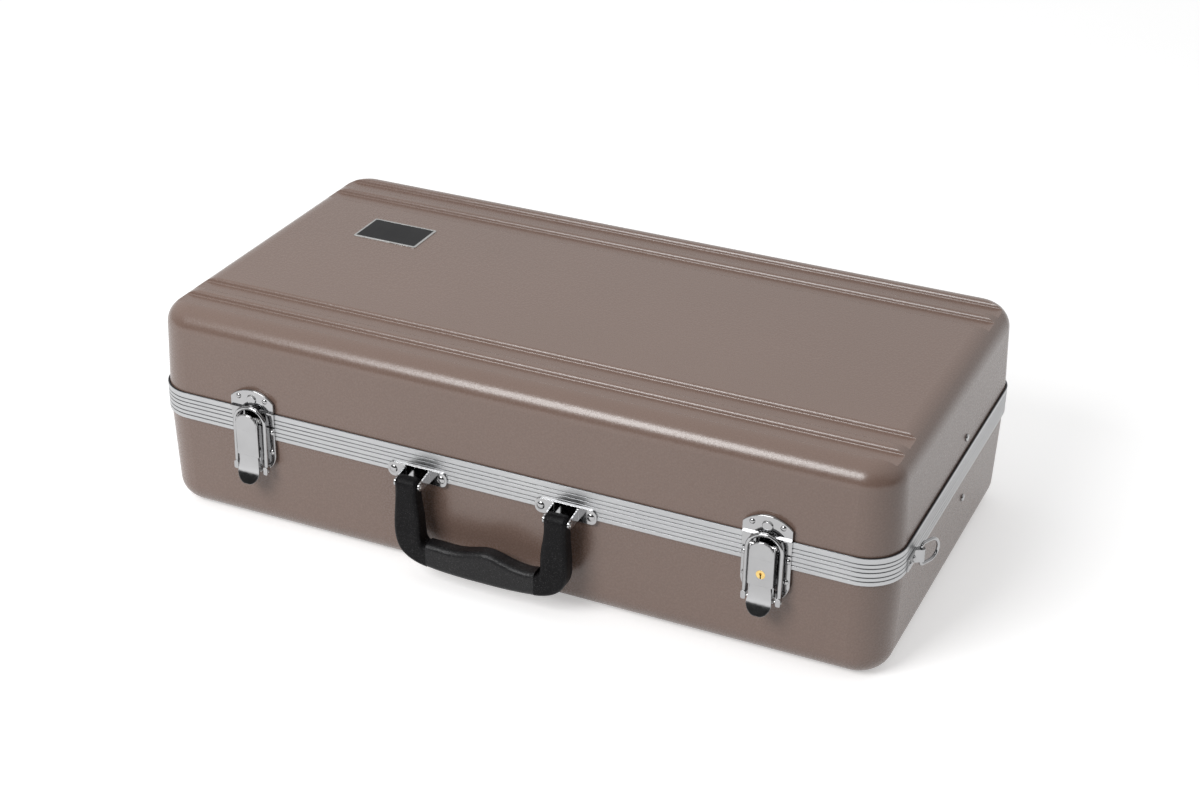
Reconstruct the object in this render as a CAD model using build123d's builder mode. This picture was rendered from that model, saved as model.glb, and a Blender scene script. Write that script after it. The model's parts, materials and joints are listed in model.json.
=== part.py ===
"""Trumpet case: two moulded shells in a ribbed aluminium frame, with latches, handle and padding.

Millimetres. X runs along the case (right positive), Y runs to the rear, Z is up.
The origin is the middle of the base's underside.
"""

import os
from math import cos, radians, sin, sqrt, tan

from build123d import *

os.makedirs("parts", exist_ok=True)

CENTRE = (Align.CENTER, Align.CENTER, Align.CENTER)
UPWARD = (Align.CENTER, Align.CENTER, Align.MIN)
DOWNWARD = (Align.CENTER, Align.CENTER, Align.MAX)
SIDES = {"left": -1, "right": 1}

# ---------------------------------------------------------------- the case as a whole
LENGTH = 560.0          # over the aluminium frame
DEPTH = 294.0           # over the aluminium frame
PARTING = 86.3          # height of the parting line
LID_RISE = 73.2         # from the parting line to the lid's top
CORNER_R = 28.4         # plan corner of the frame
PROUD = 1.2             # frame stands this far out from the shells
WALL = 2.6              # shell wall
FRONT = -DEPTH / 2
REAR = DEPTH / 2
END = LENGTH / 2
LID_TOP = PARTING + LID_RISE

BASE_DRAFT = 2.1
LID_DRAFT = 2.3
BASE_EDGE_R = 17.6
LID_EDGE_R = 16.4

# ---------------------------------------------------------------- aluminium frame
FRAME_GAP = 0.2         # between the two halves of the frame when shut
FLANGE = 1.1            # outer flange
RIB_STEP = 0.45         # depth of the step between two ribs
WEB = 1.0               # web over the shell's rim
INNER_FLANGE = 1.0
INNER_DEPTH = 5.0       # height of the inner flange
SEAT_GAP = 0.3          # shell to inner flange
RIB_FALLS = [10.0, 6.85, 3.75]      # edges of the base ribs, below the parting line
RIB_RISES = [3.0, 6.1, 10.7]        # edges of the lid ribs, above it
BASE_RIBS = [PARTING - fall for fall in RIB_FALLS] + [PARTING - FRAME_GAP / 2]
LID_RIBS = [PARTING + FRAME_GAP / 2] + [PARTING + rise for rise in RIB_RISES]
BASE_RIM = BASE_RIBS[-1] - WEB
LID_RIM = LID_RIBS[0] + WEB

# ---------------------------------------------------------------- pressed grooves
GROOVE_HALF = 10.1
GROOVE_DEPTH = 3.3
GROOVE_WALL = 70.0      # slope of the groove's walls
LIP_R = 2.2
FLOOR_R = 1.0
LID_INSETS = (29.7, 53.75)          # groove centres from the frame's front and rear
BASE_INSETS = (32.4, 56.5)
LID_GROOVES = sorted(side * (REAR - inset) for side in (-1, 1) for inset in LID_INSETS)
BASE_GROOVES = sorted(side * (REAR - inset) for side in (-1, 1) for inset in BASE_INSETS)
RIDGE_COVER = 1.2       # wall kept beside a groove, inside the shell

# ---------------------------------------------------------------- rivets
RIVET_R = 1.3
RIVET_FIT = 0.05
HEAD_R = 2.9
SMALL_HEAD_R = 2.0
HEAD_H = 1.3
TAIL_R = 2.4
SMALL_TAIL_R = 1.8      # where a tail lies under the inner flange
TAIL_H = 0.8

# ---------------------------------------------------------------- latches
LATCH_X = END - 85.5
PLATE = 1.2             # pressed steel of keeper and base plate
LATCH_W = 34.4
KEEPER_BOTTOM = PARTING + 1.0
KEEPER_SHOULDER = PARTING + 19.2
KEEPER_TOP = PARTING + 26.4
LEDGE_Z = LID_RIBS[-1] + 0.3
LEDGE_H = 1.2
LEDGE_OUT = 1.8
PAD_GAP = 0.15
PAD_INSET = 0.6         # packing behind a plate stays this far inside its edge
KEEPER_RIVET = (LATCH_W / 2 - 6.5, PARTING + 20.0)
DOME_R = 4.0
LATCH_PLATE_TOP = PARTING - 0.5
LATCH_PLATE_STRAIGHT = PARTING - 23.8
LATCH_PLATE_BOTTOM = PARTING - 38.3
UPPER_RIVET = (LATCH_W / 2 - 2.0, PARTING - 4.0)
LOWER_RIVET = (LATCH_W / 2 - 2.8, PARTING - 19.8)
PIN_R = 1.2
PIN_FIT = 0.05
PIVOT_Y = FRONT - 7.2
PIVOT_Z = PARTING + 7.3
LEVER_HALF = 8.8
LEVER_T = 1.0
SIDE_GAP = 0.3          # lever flange to ear
EAR_OUT = LEVER_HALF - LEVER_T - SIDE_GAP
EAR_T = 1.1
EAR_REACH = 1.85        # stays behind the lever's face as it swings
EYE_R = 1.75            # clears the crown of the bail
LEVER_FACE = PIVOT_Y - EAR_REACH - LEVER_T - 0.15
LEVER_BOTTOM = PARTING - 21.8
LEVER_TOP = PIVOT_Z + 4.0
LEVER_STEP = PARTING - 1.5
FLANGE_DEPTH = 4.7
BAIL_WIRE = 1.5
BAIL_GAP = 0.4          # bail to the ledge
BAIL_HALF = LEVER_HALF + BAIL_WIRE + 1.8
BAIL_TOP_Y = FRONT - PLATE - LEDGE_OUT - BAIL_WIRE - BAIL_GAP
BAIL_TOP_Z = PARTING + 14.2
ROD_Y = FRONT - 6.2
ROD_Z = PARTING - 33.3
ROD_R = 0.9
ROD_FIT = 0.05
SLEEVE_R = 1.9
SLEEVE_LOW = ROD_Z - 2.7
SLEEVE_HIGH = ROD_Z + 3.5
PLUG_R = 3.2
SHOULDER = 0.7          # the plug's shoulder behind the lever
STEP_GAP = 0.1
LOCK_Z = LEVER_BOTTOM + 8.8
CAM_R = 5.4
CAM_T = 1.2
TAB_T = 1.0
TAB_TOP = LOCK_Z - PLUG_R - SHOULDER - 1.0
TAB_W_TOP = 14.6
TAB_W_LOW = 17.4
TAB_BOTTOM = LEVER_BOTTOM - 21.5
TAB_CURL = 5.0

# ---------------------------------------------------------------- handle
HANDLE_X = -5.6
POST_X = 56.6
POST_W = 16.6
POST_T = 11.6
BRACKET_Z = PARTING - 8.1
BRACKET_H = 11.0
BRACKET_CORNER = 4.4
BRACKET_RIVET = 18.5
BRACKET_EAR_R = 3.0
EAR_GAP = 0.35
HANDLE_PIN_R = 1.6
HANDLE_FIT = 0.08
HANDLE_PIN_Y = FRONT - 14.0
HANDLE_PIN_Z = PARTING - 9.0
HANDLE_DROP = 62.6      # from the pin's axis to the bow's underside
POST_EDGE_R = 3.0
GRIP_EDGE_R = 4.4
GRIP_HALF = POST_X - POST_W / 2 - 6.8

# ---------------------------------------------------------------- strap rings
RING_Y = FRONT + 46.5
RING_Z = PARTING - 5.0
BARREL_R = 2.6
BARREL_H = 9.6
RING_BAR_X = END + PLATE + BARREL_R + 0.2
RING_WIRE = 1.15
RING_FIT = 0.08
RING_HALF = 9.3
RING_REACH = 17.8
RING_BEND = 2.5
RING_SWING = 25.0
RING_RIVET_Y = RING_Y - 10.0
RING_RIVET_GAP = 3.6

# ---------------------------------------------------------------- hinges
HINGE_X = END - 90.0
HINGE_W = 50.0
KNUCKLE_R = 2.6
HINGE_Y = REAR + KNUCKLE_R + 0.3
HINGE_PIN_R = 1.25
HINGE_FIT = 0.05
KNUCKLE_GAP = 0.3
KNUCKLES = 5
HINGE_LEAF = 9.4
HINGE_RIVET_X = 15.0
HINGE_RIVET_Z = 6.3

# ---------------------------------------------------------------- lid stay
STAY_A = (25.0, PARTING - 31.3)
STAY_B = (18.0, PARTING + 20.7)
STAY_M = (STAY_A[0] + STAY_B[0] - HINGE_Y, STAY_A[1] + STAY_B[1] - PARTING)
ARM_W = 10.0
ARM_T = 1.6
LOWER_ARM_X = END - 10.2
UPPER_ARM_X = LOWER_ARM_X + ARM_T + 0.4
STAY_PIN_R = 1.8
STAY_FIT = 0.05
STAY_DOME_R = 2.7
STAY_HEAD_R = 3.6
STAY_COLLAR_R = 4.4

# ---------------------------------------------------------------- padding
PAD_LEFT = 6.5 - END
PAD_RIGHT = END - 14.5
PAD_HALF_Y = REAR - 6.4
PAD_LOW = GROOVE_DEPTH + WALL     # rests on the ridges pressed in the base
PAD_HIGH = PARTING - 3.3
PAD_CORNER = 22.0
PAD_EDGE_R = 13.0
BELL_X = PAD_LEFT + 11.5
BELL_Y = REAR - 95.0
BELL_Z = PAD_HIGH + 1.0
BELL_FLARE = [(0, 60.0), (12, 50.0), (34, 36.0), (72, 24.0), (130, 15.5)]
BELL_STEM = 60.0
TUBING_X = (BELL_X + 122.0, PAD_RIGHT - 29.5)
TUBING_Y = (BELL_Y - 50.0, BELL_Y + 48.0)
TUBING_FLOOR = PAD_HIGH - 21.0
TUBING_R = 26.0
MOUTH_X = (PAD_RIGHT - 173.5, PAD_RIGHT - 39.5)
MOUTH_Y = (18.6 - PAD_HALF_Y, 82.6 - PAD_HALF_Y)
MOUTH_LOW = PAD_LOW + 8.1
MOUTH_HIGH = PAD_HIGH - 1.0
CUP_R = 14.0
CUP_TAPER = 4.0
CUP_FLOOR = 10.0
VALVE_X = (MOUTH_X[0] - 138.0, MOUTH_X[0] - 28.0)
VALVE_Y = (40.6 - PAD_HALF_Y, BELL_Y - 32.0)
VALVE_FLOOR = PAD_HIGH - 25.0
VALVE_R = 14.0
BOX_X = (PAD_LEFT + 41.5, VALVE_X[0] - 30.0)
BOX_Y = (16.6 - PAD_HALF_Y, 64.6 - PAD_HALF_Y)
BOX_FLOOR = PAD_LOW + 16.1
BOX_R = 6.0
REBATE = 5.0
BOARD_T = 4.0
BOARD_GAP = 0.6
BOARD_LIFT = 0.2        # board over the floor of its rebate
BOARD_PIN_R = 0.9
BOARD_PIN_SEAT = 6.0    # pin's length in the padding at each end
PULL_W = 18.0
PULL_L = 26.0
PULL_T = 1.2
PULL_OVERHANG = 4.0
STRAP_X = MOUTH_X[0] + 58.0
STRAP_W = 26.0
STRAP_T = 1.6
STRAP_Y = (TUBING_Y[0] - 28.0, TUBING_Y[1] + 22.0)
STUD_R = 6.0
STUD_H = 1.6
STUD_INSET = 13.0
LID_PAD_T = 7.1
LID_PAD_HIGH = LID_TOP - GROOVE_DEPTH - WALL
LID_PAD_LOW = LID_PAD_HIGH - LID_PAD_T
LID_PAD_HALF_X = END - 10.0
LID_PAD_HALF_Y = REAR - 9.4
LID_PAD_EDGE_R = LID_PAD_T - 0.8

# ---------------------------------------------------------------- rubber feet
FOOT_R = 8.0
FOOT_H = 10.0
FOOT_X = END - 48.0
BASE_FOOT_Z = 26.0
LID_FOOT_Z = LID_TOP - 25.5


def front(y):
    """Plane facing the viewer at depth y; its local axes are X and Z."""
    return Plane.XZ.offset(-y)


def section(x):
    """Plane across the case at x; its local axes are Y and Z."""
    return Plane.YZ.offset(x)


def facing_down(z):
    return Plane(origin=(0, 0, z), x_dir=(1, 0, 0), z_dir=(0, 0, -1))


def tub(plane, length, depth, corner, height, draft, edge_r):
    """A drafted block with rounded corners, its far face rounded over."""
    with BuildPart() as block:
        with BuildSketch(plane):
            RectangleRounded(length, depth, corner)
        extrude(amount=height, taper=draft)
        far = block.faces().sort_by(Axis(plane.origin, plane.z_dir))[-1]
        fillet(far.edges(), edge_r)
    return block.part


def frame_ring(ribs):
    """Outer flange of the frame: ribs stacked like boards, each with a bevelled upper edge."""
    with BuildPart() as ring:
        for low, high in zip(ribs[:-1], ribs[1:]):
            with BuildSketch(Plane.XY.offset(low)):
                RectangleRounded(LENGTH, DEPTH, CORNER_R)
            extrude(amount=high - low - RIB_STEP)
            with BuildSketch(Plane.XY.offset(high - RIB_STEP)):
                RectangleRounded(LENGTH, DEPTH, CORNER_R)
            extrude(amount=RIB_STEP, taper=45)
        inner = 2 * FLANGE
        with BuildSketch(Plane.XY.offset(ribs[0])):
            RectangleRounded(LENGTH - inner, DEPTH - inner, CORNER_R - FLANGE)
        extrude(amount=ribs[-1] - ribs[0], mode=Mode.SUBTRACT)
    return ring.part


def inset_ring(outer, inner, low, high):
    """Ring between two insets from the frame's outer face."""
    with BuildPart() as ring:
        with BuildSketch(Plane.XY.offset(low)):
            RectangleRounded(LENGTH - 2 * outer, DEPTH - 2 * outer, CORNER_R - outer)
            RectangleRounded(LENGTH - 2 * inner, DEPTH - 2 * inner, CORNER_R - inner,
                             mode=Mode.SUBTRACT)
        extrude(amount=high - low)
    return ring.part


def groove_bar(y, skin, outward):
    """Tool that presses one groove into a flat skin at height z, running the whole length."""
    turn = radians(GROOVE_WALL)
    straight = GROOVE_DEPTH - (LIP_R + FLOOR_R) * (1 - cos(turn))
    above = (-GROOVE_HALF, GROOVE_DEPTH)
    with BuildPart() as bar:
        plane = Plane(origin=(-END, y, skin), x_dir=(0, 1, 0), z_dir=(outward, 0, 0))
        if outward < 0:
            plane = Plane(origin=(END, y, skin), x_dir=(0, 1, 0), z_dir=(-1, 0, 0))
        with BuildSketch(plane) as profile:
            with BuildLine():
                side = Line(above, (-GROOVE_HALF, 0))
                lip = JernArc(side @ 1, (1, 0), LIP_R, -GROOVE_WALL)
                wall = PolarLine(lip @ 1, straight / sin(turn), direction=lip % 1)
                foot = JernArc(wall @ 1, wall % 1, FLOOR_R, GROOVE_WALL)
                mirror(about=Plane.YZ)
                Line(foot @ 1, (-(foot @ 1).X, (foot @ 1).Y))
                Line(above, (GROOVE_HALF, GROOVE_DEPTH))
            make_face()
        extrude(amount=LENGTH)
    return bar.part


def cap_radius(half, rise):
    """Radius of the circle whose cap is 2 * half wide and rise high."""
    return (half * half + rise * rise) / (2 * rise)


def rivet(grip, head_r=HEAD_R, tail_r=TAIL_R):
    """Domed rivet standing on local z = 0, its tail formed at the far side of the grip."""
    rise = HEAD_H * 0.8
    sphere = cap_radius(head_r, rise)
    shoulder = (head_r / 2, HEAD_H - sphere + sqrt(sphere * sphere - head_r * head_r / 4))
    with BuildPart() as body:
        with BuildSketch(Plane.XZ):
            with BuildLine():
                Polyline((0, HEAD_H), (0, -grip - TAIL_H), (tail_r, -grip - TAIL_H),
                         (tail_r, -grip), (RIVET_R, -grip), (RIVET_R, 0), (head_r, 0),
                         (head_r, HEAD_H - rise))
                ThreePointArc((head_r, HEAD_H - rise), shoulder, (0, HEAD_H))
            make_face()
        revolve(axis=Axis.Z)
    return body.part


def front_seats(points, y):
    return [Plane(origin=(x, y, z), x_dir=(1, 0, 0), z_dir=(0, -1, 0)) for x, z in points]


def rear_seats(points, y):
    return [Plane(origin=(x, y, z), x_dir=(1, 0, 0), z_dir=(0, 1, 0)) for x, z in points]


def end_seats(points, x):
    side = 1 if x > 0 else -1
    return [Plane(origin=(x, y, z), x_dir=(0, 1, 0), z_dir=(side, 0, 0)) for y, z in points]


def drill(seats, radius, depth):
    """Holes running inward from the seats, through whatever part is being built."""
    with Locations(*seats):
        Cylinder(radius, 2 * depth, align=CENTRE, mode=Mode.SUBTRACT)


def placed_rivets(seats, body):
    with BuildPart() as group:
        with Locations(*seats):
            add(body)
    return group.part


# ---------------------------------------------------------------- where every rivet goes
KEEPER_SEATS = front_seats(
    [(s * LATCH_X + t * KEEPER_RIVET[0], KEEPER_RIVET[1]) for s in (-1, 1) for t in (-1, 1)],
    FRONT - PLATE)
UPPER_SEATS = front_seats(
    [(s * LATCH_X + t * UPPER_RIVET[0], UPPER_RIVET[1]) for s in (-1, 1) for t in (-1, 1)],
    FRONT - PLATE)
LOWER_SEATS = front_seats(
    [(s * LATCH_X + t * LOWER_RIVET[0], LOWER_RIVET[1]) for s in (-1, 1) for t in (-1, 1)],
    FRONT - PLATE)
HANDLE_SEATS = front_seats(
    [(HANDLE_X + s * POST_X + t * BRACKET_RIVET, BRACKET_Z) for s in (-1, 1) for t in (-1, 1)],
    FRONT - PLATE)
RING_SEATS = [seat for side in (-1, 1) for seat in end_seats(
    [(RING_RIVET_Y + t * RING_RIVET_GAP, RING_Z) for t in (-1, 1)], side * (END + PLATE))]
HINGE_BASE_SEATS = rear_seats(
    [(s * HINGE_X + t * HINGE_RIVET_X, PARTING - HINGE_RIVET_Z) for s in (-1, 1) for t in (-1, 1)],
    REAR + PLATE)
HINGE_LID_SEATS = rear_seats(
    [(s * HINGE_X + t * HINGE_RIVET_X, PARTING + HINGE_RIVET_Z) for s in (-1, 1) for t in (-1, 1)],
    REAR + PLATE)

FRAME_GRIP = PLATE + PROUD + WALL + SEAT_GAP + INNER_FLANGE + 0.1
RIM_GRIP = PLATE + PROUD + WALL + 0.5       # just below the inner flange
SKIN_GRIP = PLATE + PROUD + WALL + 0.9      # lower down, where the draft has drawn the skin in
KEEPER_GRIP = SKIN_GRIP + 0.5

# ================================================================ shells
SHELL_L = LENGTH - 2 * PROUD
SHELL_D = DEPTH - 2 * PROUD
SHELL_R = CORNER_R - PROUD
HOLE_R = RIVET_R + RIVET_FIT
STAY_HOLE_R = STAY_PIN_R + STAY_FIT

base_outer = tub(facing_down(BASE_RIM), SHELL_L, SHELL_D, SHELL_R,
                 BASE_RIM, BASE_DRAFT, BASE_EDGE_R)
base_hollow = tub(facing_down(BASE_RIM), SHELL_L - 2 * WALL, SHELL_D - 2 * WALL, SHELL_R - WALL,
                  BASE_RIM - WALL, BASE_DRAFT, BASE_EDGE_R - WALL)
lid_outer = tub(Plane.XY.offset(LID_RIM), SHELL_L, SHELL_D, SHELL_R,
                LID_TOP - LID_RIM, LID_DRAFT, LID_EDGE_R)
lid_hollow = tub(Plane.XY.offset(LID_RIM), SHELL_L - 2 * WALL, SHELL_D - 2 * WALL,
                 SHELL_R - WALL, LID_TOP - WALL - LID_RIM, LID_DRAFT, LID_EDGE_R - WALL)

ridge_w = LID_GROOVES[3] - LID_GROOVES[2] + 2 * (GROOVE_HALF + RIDGE_COVER)
ridge_h = GROOVE_DEPTH + WALL

with BuildPart() as base_hollow_ridged:
    add(base_hollow)
    for side in (-1, 1):
        mid = side * (BASE_GROOVES[2] + BASE_GROOVES[3]) / 2
        with Locations((0, mid, 0)):
            Box(LENGTH, ridge_w, ridge_h, align=UPWARD, mode=Mode.SUBTRACT)

with BuildPart() as lid_hollow_ridged:
    add(lid_hollow)
    for side in (-1, 1):
        mid = side * (LID_GROOVES[2] + LID_GROOVES[3]) / 2
        with Locations((0, mid, LID_TOP)):
            Box(LENGTH, ridge_w, ridge_h, align=DOWNWARD, mode=Mode.SUBTRACT)

with BuildPart() as base_shell:
    add(base_outer)
    add(base_hollow_ridged.part, mode=Mode.SUBTRACT)
    for y in BASE_GROOVES:
        add(groove_bar(y, 0, -1), mode=Mode.SUBTRACT)
    drill(UPPER_SEATS + LOWER_SEATS + HANDLE_SEATS + RING_SEATS + HINGE_BASE_SEATS,
          HOLE_R, FRAME_GRIP + TAIL_H)
    drill(end_seats([STAY_A], END), STAY_HOLE_R, 4 * WALL)
base_shell.part.label = "base_shell"
export_step(base_shell.part, "parts/base_shell.step")

with BuildPart() as lid_shell:
    add(lid_outer)
    add(lid_hollow_ridged.part, mode=Mode.SUBTRACT)
    for y in LID_GROOVES:
        add(groove_bar(y, LID_TOP, 1), mode=Mode.SUBTRACT)
    drill(KEEPER_SEATS + HINGE_LID_SEATS, HOLE_R, FRAME_GRIP + TAIL_H)
    drill(end_seats([STAY_B], END), STAY_HOLE_R, 4 * WALL)
lid_shell.part.label = "lid_shell"
export_step(lid_shell.part, "parts/lid_shell.step")

# ================================================================ aluminium frame
inner_out = PROUD + WALL + SEAT_GAP
inner_in = inner_out + INNER_FLANGE

with BuildPart() as base_valance:
    add(frame_ring(BASE_RIBS))
    add(inset_ring(RIB_STEP, inner_in, BASE_RIM, BASE_RIM + WEB))
    add(inset_ring(inner_out, inner_in, BASE_RIM - INNER_DEPTH, BASE_RIM))
    drill(UPPER_SEATS + HANDLE_SEATS + RING_SEATS + HINGE_BASE_SEATS, HOLE_R, 3 * FRAME_GRIP)
base_valance.part.label = "base_valance"
export_step(base_valance.part, "parts/base_valance.step")

with BuildPart() as lid_valance:
    add(frame_ring(LID_RIBS))
    add(inset_ring(RIB_STEP, inner_in, LID_RIM - WEB, LID_RIM))
    add(inset_ring(inner_out, inner_in, LID_RIM, LID_RIM + INNER_DEPTH))
    drill(HINGE_LID_SEATS, HOLE_R, 3 * FRAME_GRIP)
lid_valance.part.label = "lid_valance"
export_step(lid_valance.part, "parts/lid_valance.step")

# ================================================================ name plate on the lid
BADGE_X = (69.5 - END, 122.8 - END)
BADGE_Y = (REAR - 121.6, REAR - 86.5)
BADGE_BORDER = 1.6
BADGE_T = 0.8
BADGE_R = 1.2
badge_mid = ((BADGE_X[0] + BADGE_X[1]) / 2, (BADGE_Y[0] + BADGE_Y[1]) / 2)
badge_l = BADGE_X[1] - BADGE_X[0]
badge_w = BADGE_Y[1] - BADGE_Y[0]

with BuildPart() as badge_frame:
    with BuildSketch(Plane.XY.offset(LID_TOP)):
        with Locations(badge_mid):
            RectangleRounded(badge_l, badge_w, BADGE_R)
    extrude(amount=BADGE_T)
    chamfer(badge_frame.faces().sort_by(Axis.Z)[-1].edges(), BADGE_T / 3)
    with BuildSketch(Plane.XY.offset(LID_TOP + BADGE_T / 2)):
        with Locations(badge_mid):
            Rectangle(badge_l - 2 * BADGE_BORDER, badge_w - 2 * BADGE_BORDER)
    extrude(amount=BADGE_T, mode=Mode.SUBTRACT)
badge_frame.part.label = "badge_frame"
export_step(badge_frame.part, "parts/badge_frame.step")

with BuildPart() as badge_plate:
    with BuildSketch(Plane.XY.offset(LID_TOP + BADGE_T / 2)):
        with Locations(badge_mid):
            Rectangle(badge_l - 2 * BADGE_BORDER, badge_w - 2 * BADGE_BORDER)
    extrude(amount=BADGE_T / 4)
badge_plate.part.label = "badge_plate"
export_step(badge_plate.part, "parts/badge_plate.step")


# ================================================================ latches
EAR_IN = EAR_OUT - EAR_T
LEVER_BACK = LEVER_FACE + LEVER_T
FLANGE_IN = LEVER_HALF - LEVER_T
LUG_R = ROD_R + 0.85
BAIL_LEAN = (BAIL_TOP_Y - ROD_Y) / (BAIL_TOP_Z - ROD_Z)
BAIL_SLOPE = sqrt(1 + BAIL_LEAN * BAIL_LEAN)
BAIL_PLANE_Z = Vector(0, -1, BAIL_LEAN)
ARCH_LOW = BAIL_TOP_Z - BAIL_HALF


def crowned(y, cx, half, straight_from, straight_to, crown):
    """Plate outline facing the viewer: straight sides, then a shallow arc up or down to crown."""
    with BuildSketch(front(y)) as outline:
        with BuildLine():
            arc = ThreePointArc((cx - half, straight_to), (cx, crown), (cx + half, straight_to))
            Polyline(arc @ 1, (cx + half, straight_from), (cx - half, straight_from), arc @ 0)
        make_face()
    return outline.sketch


for name, side in SIDES.items():
    cx = side * LATCH_X

    # ---- keeper: crowned plate on the lid, skirt over the frame, ledge for the bail
    with BuildPart() as keeper:
        extrude(crowned(FRONT, cx, LATCH_W / 2, KEEPER_BOTTOM, KEEPER_SHOULDER, KEEPER_TOP),
                amount=PLATE)
        fillet(keeper.faces().sort_by(Axis.Y)[0].edges().filter_by(GeomType.CIRCLE), PLATE / 2)
        with BuildSketch(front(FRONT - PLATE)):
            with Locations((cx, LEDGE_Z + LEDGE_H / 2)):
                Rectangle(LATCH_W, LEDGE_H)
        extrude(amount=LEDGE_OUT)
        extrude(crowned(FRONT, cx, LATCH_W / 2 - PAD_INSET, LID_RIBS[-1] + PAD_GAP,
                        KEEPER_SHOULDER - PAD_INSET, KEEPER_TOP - PAD_INSET),
                amount=-(PROUD + PAD_GAP * 2), taper=-LID_DRAFT)
        with BuildSketch(front(FRONT - PLATE)):
            with Locations((cx, LEDGE_Z + 2 * DOME_R)):
                Circle(DOME_R)
        extrude(amount=PLATE, taper=30)
        fillet(keeper.faces().filter_by(Axis.Y).sort_by(Axis.Y)[1].edges(), PLATE / 3)
        drill(KEEPER_SEATS, HOLE_R, FRAME_GRIP)
    keeper.part.label = f"keeper_{name}"
    export_step(keeper.part, f"parts/keeper_{name}.step")

    # ---- base plate with a pair of ears for the pivot
    with BuildPart() as latch_base:
        extrude(crowned(FRONT, cx, LATCH_W / 2, LATCH_PLATE_TOP, LATCH_PLATE_STRAIGHT,
                        LATCH_PLATE_BOTTOM), amount=PLATE)
        rim = latch_base.faces().sort_by(Axis.Y)[0].edges()
        fillet(rim.filter_by(lambda e: e.center().Z < LATCH_PLATE_TOP - 1), PLATE / 3)
        extrude(crowned(FRONT, cx, LATCH_W / 2 - PAD_INSET, BASE_RIBS[0] - PAD_GAP,
                        LATCH_PLATE_STRAIGHT, LATCH_PLATE_BOTTOM + PAD_INSET),
                amount=-(PROUD + PAD_GAP))
        for lean in (-1, 1):
            inner = cx + lean * EAR_IN
            with BuildSketch(section(inner)):
                with Locations((PIVOT_Y, PIVOT_Z)):
                    Circle(EAR_REACH)
                with BuildLine():
                    Polyline(
                        (FRONT - PLATE, LATCH_PLATE_TOP), (FRONT - PLATE, LEVER_BOTTOM),
                        (PIVOT_Y - EAR_REACH / 2, TAB_TOP + 1), (PIVOT_Y - EAR_REACH, PIVOT_Z),
                        (PIVOT_Y + EAR_REACH, PIVOT_Z), (PIVOT_Y + EAR_REACH, PARTING),
                        (FRONT - PLATE, LATCH_PLATE_TOP))
                make_face()
            extrude(amount=lean * EAR_T)
        with Locations((cx, PIVOT_Y, PIVOT_Z)):
            Cylinder(PIN_R, LATCH_W, rotation=(0, 90, 0), mode=Mode.SUBTRACT)
        drill(UPPER_SEATS + LOWER_SEATS, HOLE_R, FRAME_GRIP)
    latch_base.part.label = f"latch_base_{name}"
    export_step(latch_base.part, f"parts/latch_base_{name}.step")

    # ---- pivot pin, riveted in the ears
    with BuildPart() as pin:
        with Locations((cx, PIVOT_Y, PIVOT_Z)):
            Cylinder(PIN_R, 2 * LEVER_HALF + 1.2, rotation=(0, 90, 0))
        chamfer(pin.edges().filter_by(GeomType.CIRCLE), 0.25)
    pin.part.label = f"latch_pin_{name}"
    export_step(pin.part, f"parts/latch_pin_{name}.step")

    # ---- lever: rounded face with a pressed step, two side flanges
    with BuildPart() as lever:
        with BuildSketch(front(LEVER_BACK)):
            with Locations((cx, LEVER_TOP - LEVER_HALF)):
                Circle(LEVER_HALF)
            with Locations((cx, (LEVER_TOP - LEVER_HALF + LEVER_BOTTOM) / 2)):
                Rectangle(2 * LEVER_HALF, LEVER_TOP - LEVER_HALF - LEVER_BOTTOM)
        extrude(amount=LEVER_T)
        rim = lever.faces().sort_by(Axis.Y)[0].edges()
        fillet(rim.filter_by(lambda e: e.center().Z > LEVER_BOTTOM + 1), LEVER_T / 2)
        with BuildSketch(front(LEVER_FACE)):
            with Locations((cx, LEVER_TOP - LEVER_HALF)):
                Circle(LEVER_HALF - PAD_INSET)
            with Locations((cx, LEVER_STEP - LEVER_HALF)):
                Rectangle(3 * LEVER_HALF, 2 * LEVER_HALF, mode=Mode.SUBTRACT)
        extrude(amount=LEVER_T / 4)
        for lean in (-1, 1):
            with BuildSketch(section(cx + lean * FLANGE_IN)):
                with Locations((PIVOT_Y, PIVOT_Z)):
                    Circle(EYE_R)
                with Locations((ROD_Y, ROD_Z)):
                    Circle(LUG_R)
                with BuildLine():
                    Polyline(
                        (LEVER_BACK, PIVOT_Z), (LEVER_BACK, LEVER_BOTTOM),
                        (ROD_Y - LUG_R, LEVER_BOTTOM - SIDE_GAP), (ROD_Y - LUG_R, ROD_Z),
                        (ROD_Y + LUG_R, ROD_Z), (LEVER_BACK + FLANGE_DEPTH, ROD_Z + 2 * LUG_R),
                        (LEVER_BACK + FLANGE_DEPTH, PIVOT_Z), (LEVER_BACK, PIVOT_Z))
                make_face()
            extrude(amount=lean * LEVER_T)
        with Locations((cx, PIVOT_Y, PIVOT_Z)):
            Cylinder(PIN_R + PIN_FIT, LATCH_W, rotation=(0, 90, 0), mode=Mode.SUBTRACT)
        with Locations((cx, ROD_Y, ROD_Z)):
            Cylinder(ROD_R + ROD_FIT, LATCH_W, rotation=(0, 90, 0), mode=Mode.SUBTRACT)
        if side > 0:
            with Locations((cx, LEVER_FACE, LOCK_Z)):
                Cylinder(PLUG_R + PIN_FIT, 4 * LEVER_T, rotation=(90, 0, 0), mode=Mode.SUBTRACT)
    lever.part.label = f"latch_lever_{name}"
    export_step(lever.part, f"parts/latch_lever_{name}.step")

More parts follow.
